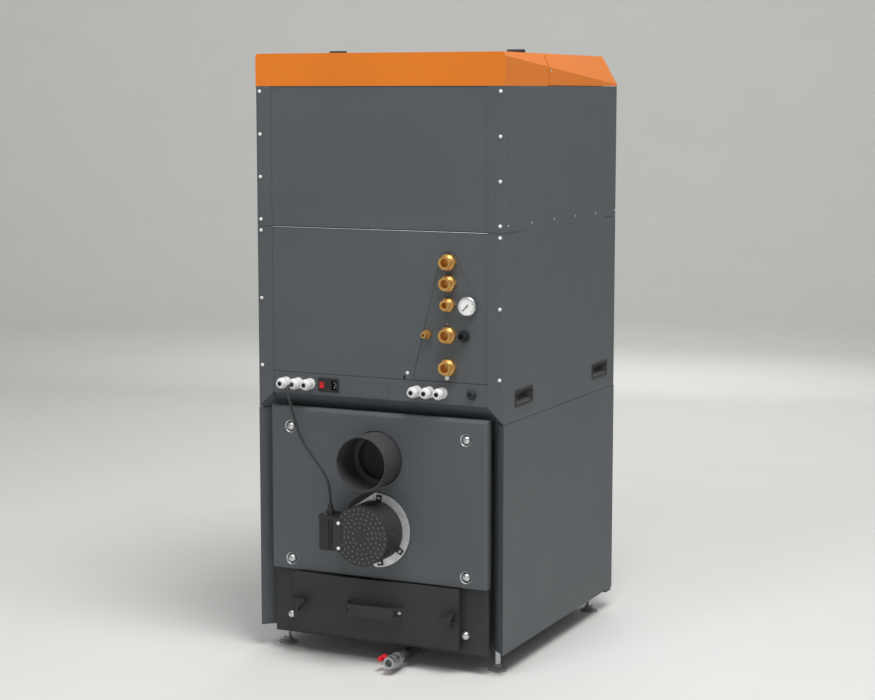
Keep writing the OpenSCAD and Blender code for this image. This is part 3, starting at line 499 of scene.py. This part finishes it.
# The cable's route from the second gland to the strain relief, in metres from the cladding's rear face
CORD_ROUTE = [
    (0.216, 0.0325, 0.6665), (0.216, 0.0411, 0.666), (0.2156, 0.0495, 0.6629), (0.2144, 0.056, 0.6572),
    (0.212, 0.06, 0.6493), (0.208, 0.062, 0.6402), (0.2026, 0.063, 0.6274), (0.1971, 0.064, 0.6126),
    (0.1911, 0.065, 0.5956), (0.1845, 0.066, 0.577), (0.1765, 0.067, 0.557), (0.1671, 0.068, 0.5403),
    (0.1551, 0.069, 0.5233), (0.1427, 0.0695, 0.5085), (0.1301, 0.07, 0.4943), (0.1186, 0.07, 0.4809),
    (0.1087, 0.07, 0.4669), (0.1007, 0.07, 0.4521), (0.0957, 0.07, 0.4363), (0.093, 0.07, 0.4204),
    (0.0917, 0.07, 0.4056), (0.0915, 0.07, 0.3927),
]


class BOILER_OT_cable(bpy.types.Operator):
    """The fan cable, hanging from its gland to the terminal box"""

    bl_idname = "boiler.cable"
    bl_label = "Fan cable"

    def execute(self, context):
        sizes, _ = settings()
        route = [Vector((x, REAR_Y + y, z)) for x, y, z in CORD_ROUTE]
        data = bpy.data.curves.new("fan_cable", "CURVE")
        data.dimensions = "3D"
        data.bevel_depth = sizes.cord_diameter / 2
        data.bevel_resolution = 5
        data.resolution_u = 6
        data.use_fill_caps = True
        spline = data.splines.new("BEZIER")
        spline.bezier_points.add(len(route) - 1)
        for point, place in zip(spline.bezier_points, route):
            point.co = place
            point.handle_left_type = point.handle_right_type = "AUTO"
        data.materials.append(MADE["rubber"])
        cable = bpy.data.objects.new("fan_cable", data)
        context.scene.collection.objects.link(cable)
        context.view_layer.update()
        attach(cable, "boiler")
        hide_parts("fan_cord")
        return {"FINISHED"}


class BOILER_OT_finishes(bpy.types.Operator):
    """Gives every solid its finish"""

    bl_idname = "boiler.finishes"
    bl_label = "Finishes"

    def execute(self, context):
        for finish, nodes in NODE_FINISH.items():
            for name in nodes:
                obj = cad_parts[name]
                if not obj.material_slots:
                    obj.data.materials.append(MADE[finish])
                for slot in obj.material_slots:
                    slot.material = MADE[finish]
        return {"FINISHED"}


# Caps on the rear flanges: distance from the flange's outer edge, and height
CAP_INSET = 10.7 * MM
CAP_H = 3 * MM
# Caps up a hopper and a middle flange: the lowest and the highest one's distance from the ends, and the count
HOPPER_CAPS = (15.3 * MM, 12.5 * MM, 4)
MIDDLE_CAPS = (104.2 * MM, 10.3 * MM, 3)
# Place and radius of the caps on the connection panel and on the fittings plate
PLATE_CAPS = [((-77.7 * MM, PANEL_Y, 708.5 * MM), 4.4 * MM), ((-179.9 * MM, PLATE_Y, 703 * MM), 6 * MM)]
# Screws along a side, level with the hopper's lowest cap: distance of the first from the rear, pitch, count
# and height
SIDE_SCREW_FIRST = 21.9 * MM
SIDE_SCREW_PITCH = 139.6 * MM
SIDE_SCREWS = 6
SIDE_SCREW_H = 1.6 * MM
# Screws on top of the lid's rear cover: distances from the side and the rear, radius and height
LID_SCREW_SIDE = 21 * MM
LID_SCREW_BACK = 20 * MM
LID_SCREW_R = 4 * MM
LID_SCREW_H = 2.2 * MM
# Screws on the flap's sides: distance from the rear, rise above the hopper's panels, radius and height
FLAP_SCREW_BACK = 274 * MM
FLAP_SCREW_RISE = 36 * MM
FLAP_SCREW_R = 3 * MM
FLAP_SCREW_H = 1.8 * MM
# Sides of a small screw's round head
SCREW_SIDES = 14


def evenly(low, high, first, last, count):
    """Evenly spaced values between two margins."""
    step = (high - last - low - first) / (count - 1)
    return [low + first + i * step for i in range(count)]


class BOILER_OT_panel_screws(bpy.types.Operator):
    """White screw caps on the rear flanges and small screws along the sides and on the lid"""

    bl_idname = "boiler.panel_screws"
    bl_label = "Panel screws"

    def execute(self, context):
        sizes, _ = settings()
        heights = evenly(HOPPER[0].z, HOPPER[1].z, *HOPPER_CAPS)
        heights += evenly(MIDDLE[0].z, MIDDLE[1].z, *MIDDLE_CAPS)
        caps = bmesh.new()
        for side in (-1, 1):
            for z in heights:
                dome(caps, (side * (SIDE_X - CAP_INSET), REAR_Y, z), REARWARD, sizes.cap_radius, CAP_H)
        for at, r in PLATE_CAPS:
            dome(caps, at, REARWARD, r, CAP_H)
        piece("panel_screw_caps", caps, "white")
        lid_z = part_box("lid_rear_cover")[1].z
        row_z = HOPPER[0].z + HOPPER_CAPS[0]
        screws = bmesh.new()
        for side in (-1, 1):
            for i in range(SIDE_SCREWS):
                at = (side * SIDE_X, REAR_Y - SIDE_SCREW_FIRST - i * SIDE_SCREW_PITCH, row_z)
                dome(screws, at, (side, 0, 0), sizes.side_screw, SIDE_SCREW_H, SCREW_SIDES)
            at = (side * (SIDE_X - LID_SCREW_SIDE), REAR_Y - LID_SCREW_BACK, lid_z)
            dome(screws, at, UP, LID_SCREW_R, LID_SCREW_H, SCREW_SIDES)
        piece("side_screws", screws, "nickel")
        flap = bmesh.new()
        for side in (-1, 1):
            at = (side * SIDE_X, REAR_Y - FLAP_SCREW_BACK, HOPPER[1].z + FLAP_SCREW_RISE)
            dome(flap, at, (side, 0, 0), FLAP_SCREW_R, FLAP_SCREW_H, SCREW_SIDES)
        piece("flap_screws", flap, "nickel", "lid")
        return {"FINISHED"}


# Distances of the cap nuts from the rear cover's sides, top and bottom, and from the ash panel's bottom
NUT_SIDE = 55.5 * MM
NUT_TOP = 48.5 * MM
NUT_BOTTOM = 25 * MM
ASH_NUT_RISE = 48 * MM
# Depth of the rear cover's recesses
RECESS_DEPTH = 8 * MM
# Length of a nut's stem and height of its crown as a share of its radius, in a recess and on the ash panel
SUNK_NUT = (3 * MM, 0.85)
ASH_NUT = (9 * MM, 0.95)
# Share of a nut's radius that its neck has, the rows of its crown and its sides
NUT_NECK = 0.9
NUT_ROWS = 8
NUT_SIDES = 28
# Radius and height from the cover's face, in millimetres, of the corners of a recess's bright cup washer
# and of the black lining under it, which is painted shade that darkens the recess walls
CUP_PROFILE = [(15.3, -0.3), (15.2, 0.1), (12.6, -2.5), (12.6, -3.2), (13.6, -3.2), (15.3, -0.3)]
SHADE_LINING_PROFILE = [(13.4, -3.2), (12.6, -3.2), (11.2, -7.4), (9.4, -7.4), (9.4, -7.9), (11.3, -7.9),
                (13.4, -3.2)]
WASHER_SIDES = 32


class BOILER_OT_cap_nuts(bpy.types.Operator):
    """Nickel plated cap nuts on the ash panel and, with bright cup washers, in the rear cover's recesses"""

    bl_idname = "boiler.cap_nuts"
    bl_label = "Cap nuts"

    def execute(self, context):
        sizes, _ = settings()
        r = sizes.nut_radius
        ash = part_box("ash_panel")
        sunk_y = COVER[1].y - RECESS_DEPTH
        sunk = [COVER[1].z - NUT_TOP, COVER[0].z + NUT_BOTTOM]
        seats = [(z, sunk_y, *SUNK_NUT) for z in sunk]
        seats.append((ash[0].z + ASH_NUT_RISE, ash[1].y, *ASH_NUT))
        nuts = bmesh.new()
        cups = bmesh.new()
        seals = bmesh.new()
        for side in (-1, 1):
            x = side * (COVER[1].x - NUT_SIDE)
            for z, y, stem, crown in seats:
                rows = [(r * math.cos(a), stem + r * crown * math.sin(a)) for a in quarter(NUT_ROWS)]
                neck = r * NUT_NECK
                profile = [(0, 0), (neck, 0), (neck, stem / 2), *rows, (0, stem + r * crown)]
                lathe(nuts, profile, facing((x, y, z)), NUT_SIDES)
            # The black linings in the recesses are painted shade
            for z in sunk:
                for bm, profile in ((cups, CUP_PROFILE), (seals, SHADE_LINING_PROFILE)):
                    ring = [(radius * MM, rise * MM) for radius, rise in profile]
                    lathe(bm, ring, facing((x, COVER[1].y, z)), WASHER_SIDES)
        piece("cap_nuts", nuts, "nickel")
        piece("nut_cup_washers", cups, "nickel")
        piece("nut_recess_painted_shade", seals, "rubber")
        return {"FINISHED"}


# Dial: depth below the bezel's edge, the bezel's width round it, thickness and sides
DIAL_DEPTH = 2 * MM
BEZEL_W = 2.6 * MM
DIAL_T = 0.4 * MM
DIAL_SIDES = 48
# Graduations: count, sweep in degrees, how many make a long step, lengths, width, thickness and margin
MARKS = 25
MARK_SWEEP = 270
MARKS_PER_STEP = 6
MARK_LONG = 4 * MM
MARK_SHORT = 2.2 * MM
MARK_W = 0.8 * MM
MARK_T = 0.1 * MM
MARK_MARGIN = 2 * MM
# Pointer: turn in degrees, shares of the dial's radius at its tail and tip, width, and its faces' heights
POINTER_TURN = 137
POINTER_TAIL = 0.35
POINTER_TIP = 0.72
POINTER_W = 1.8 * MM
POINTER_RISE = (0.9 * MM, 1.3 * MM)
# Hub of the pointer: radius, and heights of its edge and its middle
HUB_R = 2 * MM
HUB_RISE = (1.4 * MM, 1.6 * MM)
HUB_SIDES = 20
# Heights of the glass's faces above the dial's back
GLASS_RISE = (1.7 * MM, 2.2 * MM)


class BOILER_OT_gauge_face(bpy.types.Operator):
    """Dial, graduations, pointer and glass of the pressure gauge"""

    bl_idname = "boiler.gauge_face"
    bl_label = "Gauge face"

    def execute(self, context):
        low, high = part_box("pressure_gauge")
        x, _, z = (low + high) / 2
        face_y = high.y - DIAL_DEPTH
        r = (high.x - low.x) / 2 - BEZEL_W
        turn = facing((x, face_y, z))
        dial = bmesh.new()
        lathe(dial, [(0, 0), (r, 0), (r, DIAL_T), (0, DIAL_T)], turn, DIAL_SIDES)
        piece("gauge_dial", dial, "dial")
        marks = bmesh.new()
        mark_y = face_y + DIAL_T
        mark_end = r - MARK_MARGIN
        for i in range(MARKS):
            long = MARK_LONG if i % MARKS_PER_STEP == 0 else MARK_SHORT
            made = bar(marks, (-MARK_W / 2, mark_y, mark_end - long), (MARK_W / 2, mark_y + MARK_T, mark_end))
            turned(marks, made, x, z, math.radians(i * MARK_SWEEP / (MARKS - 1) - MARK_SWEEP / 2))
        back, front = [face_y + rise for rise in POINTER_RISE]
        made = bar(marks, (-POINTER_W / 2, back, -r * POINTER_TAIL), (POINTER_W / 2, front, r * POINTER_TIP))
        turned(marks, made, x, z, math.radians(POINTER_TURN))
        lathe(marks, [(0, DIAL_T), (HUB_R, DIAL_T), (HUB_R, HUB_RISE[0]), (0, HUB_RISE[1])], turn, HUB_SIDES)
        piece("gauge_marks", marks, "ink", smooth=False)
        glass = bmesh.new()
        back, front = GLASS_RISE
        lathe(glass, [(0, back), (r, back), (r, front), (0, front)], turn, DIAL_SIDES)
        piece("gauge_glass", glass, "glass")
        return {"FINISHED"}


# Terminal box's bracket: sides, lower and upper ends from the fan's axis, corner radius and thickness
BRACKET_X = (50 * MM, 74 * MM)
BRACKET_RISE = (-40 * MM, 39 * MM)
BRACKET_CORNER = 5 * MM
BRACKET_T = 1.5 * MM
# Bracket's flange: lower and upper ends from the fan's axis, and how far it laps the terminal box
FLANGE_RISE = (-38 * MM, 34 * MM)
FLANGE_LAP = 4 * MM
# White screws on the bracket: place across, rises from the fan's axis, radius and height
BOX_SCREW_X = 56.6 * MM
BOX_SCREW_RISES = (27 * MM, -33.3 * MM)
BOX_SCREW_R = 4.3 * MM
BOX_SCREW_H = 4 * MM
# Rivets of the guard's feet: distance from the axis, angles in degrees, the feet's thickness, radius, height
RIVET_REACH = 78.5 * MM
RIVET_ANGLES = (97, 215, 261)
GUARD_FOOT_T = 2.5 * MM
RIVET_R = 4 * MM
RIVET_H = 2.4 * MM
RIVET_SIDES = 16
# Rivet on top of the terminal box: place across, distance behind the cladding's rear face and height
BOX_RIVET_X = 103 * MM
BOX_RIVET_BACK = 72 * MM
BOX_RIVET_H = 2.5 * MM


class BOILER_OT_fan_details(bpy.types.Operator):
    """Bracket and white screws of the terminal box and the rivets of the fan guard"""

    bl_idname = "boiler.fan_details"
    bl_label = "Fan details"

    def execute(self, context):
        end_y = GUARD[1].y
        face_y = end_y + BRACKET_T
        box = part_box("fan_terminal_box")
        near, far = BRACKET_X
        bracket = bmesh.new()
        rounded_plate(bracket, Vector((near, end_y, FAN_Z + BRACKET_RISE[0])),
                      Vector((far, end_y, FAN_Z + BRACKET_RISE[1])), BRACKET_CORNER, BRACKET_T)
        bar(bracket, (far - BRACKET_T, box[1].y - FLANGE_LAP, FAN_Z + FLANGE_RISE[0]),
            (far, face_y, FAN_Z + FLANGE_RISE[1]))
        piece("terminal_bracket", bracket, "steel", smooth=False)
        caps = bmesh.new()
        for rise in BOX_SCREW_RISES:
            dome(caps, (BOX_SCREW_X, face_y, FAN_Z + rise), REARWARD, BOX_SCREW_R, BOX_SCREW_H)
        piece("terminal_box_screws", caps, "white")
        rivets = bmesh.new()
        for angle in RIVET_ANGLES:
            a = math.radians(angle)
            at = (math.cos(a) * RIVET_REACH, GUARD[0].y + GUARD_FOOT_T, FAN_Z + math.sin(a) * RIVET_REACH)
            dome(rivets, at, REARWARD, RIVET_R, RIVET_H, RIVET_SIDES)
        at = (BOX_RIVET_X, REAR_Y + BOX_RIVET_BACK, box[1].z)
        dome(rivets, at, UP, RIVET_R, BOX_RIVET_H, RIVET_SIDES)
        piece("guard_rivets", rivets, "stud")
        return {"FINISHED"}


# Inner radius and wall of the guard's drum, and the gauze's wall, distance from the drum and from its feet
GUARD_INNER_R = 70 * MM
GUARD_T = 1.5 * MM
GAUZE_T = 0.5 * MM
GAUZE_GAP = 0.3 * MM
GAUZE_START = 4 * MM
GAUZE_SIDES = 64


class BOILER_OT_guard_gauze(bpy.types.Operator):
    """Wire gauze cup close behind the guard's holes"""

    bl_idname = "boiler.guard_gauze"
    bl_label = "Guard gauze"

    def execute(self, context):
        outer = GUARD_INNER_R - GAUZE_GAP
        inner = outer - GAUZE_T
        mouth = GUARD[0].y + GAUZE_START
        deep = GUARD[1].y - GUARD_T - GAUZE_GAP - mouth
        cup = [(0, deep), (outer, deep), (outer, 0), (inner, 0), (inner, deep - GAUZE_T), (0, deep - GAUZE_T)]
        gauze = bmesh.new()
        lathe(gauze, cup, facing((0, mouth, FAN_Z)), GAUZE_SIDES)
        piece("guard_gauze", gauze, "gauze")
        return {"FINISHED"}


# Bolts of the ash cover's handle: distance from the handle's ends, radius and height
BOLT_INSET = 9.5 * MM
BOLT_R = 5.9 * MM
BOLT_H = 8 * MM


class BOILER_OT_handle_bolts(bpy.types.Operator):
    """Two dome headed bolts in the openings of the ash cover's handle"""

    bl_idname = "boiler.handle_bolts"
    bl_label = "Handle bolts"

    def execute(self, context):
        low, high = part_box("ash_cover_handle")
        bolts = bmesh.new()
        for side in (-1, 1):
            at = (side * (high.x - BOLT_INSET), low.y, (low.z + high.z) / 2)
            dome(bolts, at, REARWARD, BOLT_R, BOLT_H)
        piece("handle_bolts", bolts, "nickel")
        return {"FINISHED"}


# Rise above the gland strip and radius of the five threaded ends
THREADED_ENDS = [(281 * MM, 15.5 * MM), (232 * MM, 15.5 * MM), (182.5 * MM, 12.5 * MM), (111.5 * MM, 16 * MM),
                 (36 * MM, 16 * MM)]
# Distances of a thread's start and end from the fittings' outermost face
THREAD_START = 10.5 * MM
THREAD_END = 1 * MM
# Copper screw: distance from the fittings' axis, rise above the gland strip, radius and height
VENT_SIDE = 4.5 * MM
VENT_RISE = 137 * MM
VENT_R = 2.8 * MM
VENT_H = 3 * MM


class BOILER_OT_fitting_threads(bpy.types.Operator):
    """Pipe threads on the five male brass ends and the small copper screw beside them"""

    bl_idname = "boiler.fitting_threads"
    bl_label = "Fitting threads"

    def execute(self, context):
        sizes, _ = settings()
        low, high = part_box("water_fittings")
        axis_x = (low.x + high.x) / 2
        reach = high.y - REAR_Y
        threads = bmesh.new()
        for rise, r in THREADED_ENDS:
            thread(threads, facing((axis_x, REAR_Y, STRIP_Z + rise)), r, reach - THREAD_START,
                   reach - THREAD_END, sizes.thread_pitch)
        piece("fitting_threads", threads, "brass")
        vent = bmesh.new()
        at = (axis_x + VENT_SIDE, PLATE_Y, STRIP_Z + VENT_RISE)
        dome(vent, at, REARWARD, VENT_R, VENT_H, SCREW_SIDES)
        piece("vent_screw", vent, "copper")
        return {"FINISHED"}


# Places across of the middle glands of the two groups of three, and the pitch in a group
GLAND_MIDDLES = (216 * MM, -135 * MM)
GLAND_PITCH = 33 * MM
# Ribs of a gland's nut: count, width, distances from the axis and distances behind the mouth
GLAND_RIBS = 16
RIB_W = 1.4 * MM
RIB_REACH = (12.6 * MM, 13.5 * MM)
RIB_BACK = (16.4 * MM, 8.6 * MM)
# Seal in a gland's mouth: room round a cable, radius in the mouth and of the lip, depth and the lip's height
SEAL_ROOM = 0.1 * MM
SEAL_R = 4.4 * MM
SEAL_LIP_R = 5.6 * MM
SEAL_DEPTH = 7 * MM
SEAL_LIP_H = 0.5 * MM


class BOILER_OT_gland_details(bpy.types.Operator):
    """Ribs on the glands' nuts and the black seals in their mouths"""

    bl_idname = "boiler.gland_details"
    bl_label = "Gland details"

    def execute(self, context):
        sizes, _ = settings()
        z = (GLANDS[0].z + GLANDS[1].z) / 2
        mouth_y = GLANDS[1].y
        hole = sizes.cord_diameter / 2 + SEAL_ROOM
        ring = [(hole, -SEAL_DEPTH), (SEAL_R, -SEAL_DEPTH), (SEAL_R, 0), (SEAL_LIP_R, 0),
                (SEAL_LIP_R, SEAL_LIP_H), (hole, SEAL_LIP_H), (hole, -SEAL_DEPTH)]
        ribs = bmesh.new()
        seals = bmesh.new()
        for middle in GLAND_MIDDLES:
            for i in (-1, 0, 1):
                x = middle + GLAND_PITCH * i
                for k in range(GLAND_RIBS):
                    made = bar(ribs, (-RIB_W / 2, mouth_y - RIB_BACK[0], RIB_REACH[0]),
                               (RIB_W / 2, mouth_y - RIB_BACK[1], RIB_REACH[1]))
                    turned(ribs, made, x, z, 2 * math.pi * k / GLAND_RIBS)
                lathe(seals, ring, facing((x, mouth_y, z)))
        piece("gland_ribs", ribs, "white", smooth=False)
        piece("gland_seals", seals, "rubber")
        return {"FINISHED"}


# Lip along the upper edge of the connection panel, whose bright zinc is a painted highlight: height, reach
# and root inside the panel
LIP_H = 0.9 * MM
LIP_REACH = 0.6 * MM
LIP_ROOT = 0.5 * MM


class BOILER_OT_panel_lip(bpy.types.Operator):
    """Lip along the connection panel's upper edge, sloping out and down, whose bright zinc is a painted
    highlight
    """

    bl_idname = "boiler.panel_lip"
    bl_label = "Panel lip"

    def execute(self, context):
        low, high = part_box("connection_panel")
        section = [(high.y - LIP_ROOT, high.z), (high.y, high.z), (high.y + LIP_REACH, high.z - LIP_H),
                   (high.y - LIP_ROOT, high.z - LIP_H)]
        lip = bmesh.new()
        prism(lip, [(low.x, y, z) for y, z in section], (high.x - low.x, 0, 0))
        # Bright zinc on the lip paints the highlight of the panel's folded edge
        piece("panel_lip_painted_highlight", lip, "zinc", smooth=False)
        return {"FINISHED"}


# Bare field on the gland strip: sides, lower and upper edges, corner radius and thickness
FIELD_X = (-27 * MM, 97 * MM)
FIELD_Z = (643 * MM, 676 * MM)
FIELD_CORNER = 6 * MM
FIELD_T = 1.4 * MM


class BOILER_OT_blank_plate(bpy.types.Operator):
    """Bare raised field with round corners on the gland strip"""

    bl_idname = "boiler.blank_plate"
    bl_label = "Blank plate"

    def execute(self, context):
        low, high = [Vector((x, PANEL_Y, z)) for x, z in zip(FIELD_X, FIELD_Z)]
        plate = bmesh.new()
        rounded_plate(plate, low, high, FIELD_CORNER, FIELD_T)
        piece("blank_plate", plate, "cladding", smooth=False)
        return {"FINISHED"}


# Middles of the mains socket's pins across and up, their width, height and rounded edge
PINS = [(117.5 * MM, 672 * MM), (114.5 * MM, 666 * MM), (117.5 * MM, 660 * MM)]
PIN_W = 4 * MM
PIN_H = 2.2 * MM
PIN_ROUND = 0.4 * MM
# Depth of the pins' roots inside the cladding's rear face and of their tips inside the socket's
PIN_ROOT = 14 * MM
PIN_SUNK = 2.5 * MM


class BOILER_OT_socket_pins(bpy.types.Operator):
    """Three flat pins in the mains socket"""

    bl_idname = "boiler.socket_pins"
    bl_label = "Socket pins"

    def execute(self, context):
        tip_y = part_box("power_inlet")[1].y - PIN_SUNK
        pins = bmesh.new()
        for x, z in PINS:
            made = bar(pins, (x - PIN_W / 2, REAR_Y - PIN_ROOT, z - PIN_H / 2),
                       (x + PIN_W / 2, tip_y, z + PIN_H / 2))
            edges = list({edge for vert in made for edge in vert.link_edges})
            bmesh.ops.bevel(pins, geom=edges, offset=PIN_ROUND, segments=2, profile=0.5, affect="EDGES",
                            material=-1)
        piece("socket_pins", pins, "nickel", smooth=False)
        return {"FINISHED"}


# Studio in metres: a ring that keeps the floor's shading level under the boiler, the flat floor's radius,
# the radius of the curve up into the backdrop and the backdrop's top
LEVEL_R = 3
FLOOR_R = 7
COVE_R = 3
COVE_STEPS = 12
BACKDROP_TOP = 7
STUDIO_SIDES = 96
SKY_STRENGTH = 0.38
# Name, place, aim, diameter and power of the lamps, in metres and watts
MIDDLE_AIM = (0, 0, 0.75)
LAMPS = [
    ("key", (-1.55, 1.15, 4.8), MIDDLE_AIM, 2.4, 165),
    ("rear", (0.5, 3.1, 4.3), MIDDLE_AIM, 1.4, 40),
    ("fill", (-1.4, 4.9, 0.9), MIDDLE_AIM, 1.6, 18),
    ("front", (0.8, -4.5, 2.8), MIDDLE_AIM, 3.0, 50),
    ("backdrop", (1.2, -3.2, 3.0), (3.0, -9.5, 4.0), 3.0, 95),
]


class BOILER_OT_stage(bpy.types.Operator):
    """Pale floor that rises into a backdrop, soft lamps and an even sky"""

    bl_idname = "boiler.stage"
    bl_label = "Stage"

    def execute(self, context):
        _, hues = settings()
        scene = context.scene
        angles = [i * math.pi / 2 / COVE_STEPS for i in range(1, COVE_STEPS + 1)]
        cove = [(FLOOR_R + COVE_R * math.sin(a), COVE_R - COVE_R * math.cos(a)) for a in angles]
        bm = bmesh.new()
        lathe(bm, [(0, 0), (LEVEL_R, 0), (FLOOR_R, 0), *cove, (FLOOR_R + COVE_R, BACKDROP_TOP)],
              Matrix.Identity(4), STUDIO_SIDES)
        bmesh.ops.recalc_face_normals(bm, faces=bm.faces)
        mesh = bpy.data.meshes.new("studio_floor")
        bm.to_mesh(mesh)
        bm.free()
        mesh.shade_smooth()
        floor = bpy.data.objects.new("studio_floor", mesh)
        material, tree, shader, place = new_material("studio_floor", hues.floor, metallic=0, roughness=0.8)
        clouds(tree, shader, place, hues.floor, size_mm=330, spread=0.01, rough=(0.8, 0.8))
        mesh.materials.append(material)
        scene.collection.objects.link(floor)
        world = bpy.data.worlds.new("studio")
        scene.world = world
        world.use_nodes = True
        sky = world.node_tree.nodes["Background"]
        sky.inputs["Color"].default_value = (*hues.floor, 1)
        sky.inputs["Strength"].default_value = SKY_STRENGTH
        for name, at, aim, size, watts in LAMPS:
            data = bpy.data.lights.new(name, "AREA")
            data.shape = "DISK"
            data.size = size
            data.energy = watts
            lamp = bpy.data.objects.new(name, data)
            lamp.location = at
            lamp.rotation_mode = "QUATERNION"
            lamp.rotation_quaternion = (Vector(aim) - Vector(at)).to_track_quat("-Z", "Y")
            scene.collection.objects.link(lamp)
        scene.view_settings.view_transform = "Standard"
        return {"FINISHED"}


class BOILER_PT_tools(bpy.types.Panel):
    """Lists the boiler's pieces in the sidebar"""

    bl_idname = "BOILER_PT_tools"
    bl_label = "Pellet Boiler"
    bl_space_type = "VIEW_3D"
    bl_region_type = "UI"
    bl_category = "Boiler"

    def draw(self, context):
        for operator in OPERATORS:
            self.layout.operator(operator.bl_idname)
        for group in (context.scene.boiler_sizes, context.scene.boiler_colours):
            for name in group.bl_rna.properties.keys():
                if name not in ("rna_type", "name"):
                    self.layout.prop(group, name)


OPERATORS = (
    BOILER_OT_camera, BOILER_OT_cable, BOILER_OT_finishes, BOILER_OT_panel_screws, BOILER_OT_cap_nuts,
    BOILER_OT_gauge_face, BOILER_OT_fan_details, BOILER_OT_guard_gauze, BOILER_OT_handle_bolts,
    BOILER_OT_fitting_threads, BOILER_OT_gland_details, BOILER_OT_panel_lip, BOILER_OT_blank_plate,
    BOILER_OT_socket_pins, BOILER_OT_stage,
)
CLASSES = (BoilerColours, BoilerSizes, *OPERATORS, BOILER_PT_tools)


def register():
    for cls in CLASSES:
        bpy.utils.register_class(cls)
    bpy.types.Scene.boiler_colours = PointerProperty(type=BoilerColours)
    bpy.types.Scene.boiler_sizes = PointerProperty(type=BoilerSizes)


def unregister():
    del bpy.types.Scene.boiler_sizes
    del bpy.types.Scene.boiler_colours
    for cls in reversed(CLASSES):
        bpy.utils.unregister_class(cls)


def main():
    register()
    make_materials()
    for operator in OPERATORS:
        group, name = operator.bl_idname.split(".")
        getattr(getattr(bpy.ops, group), name)()
    bpy.context.view_layer.update()


if __name__ == "__main__":
    main()
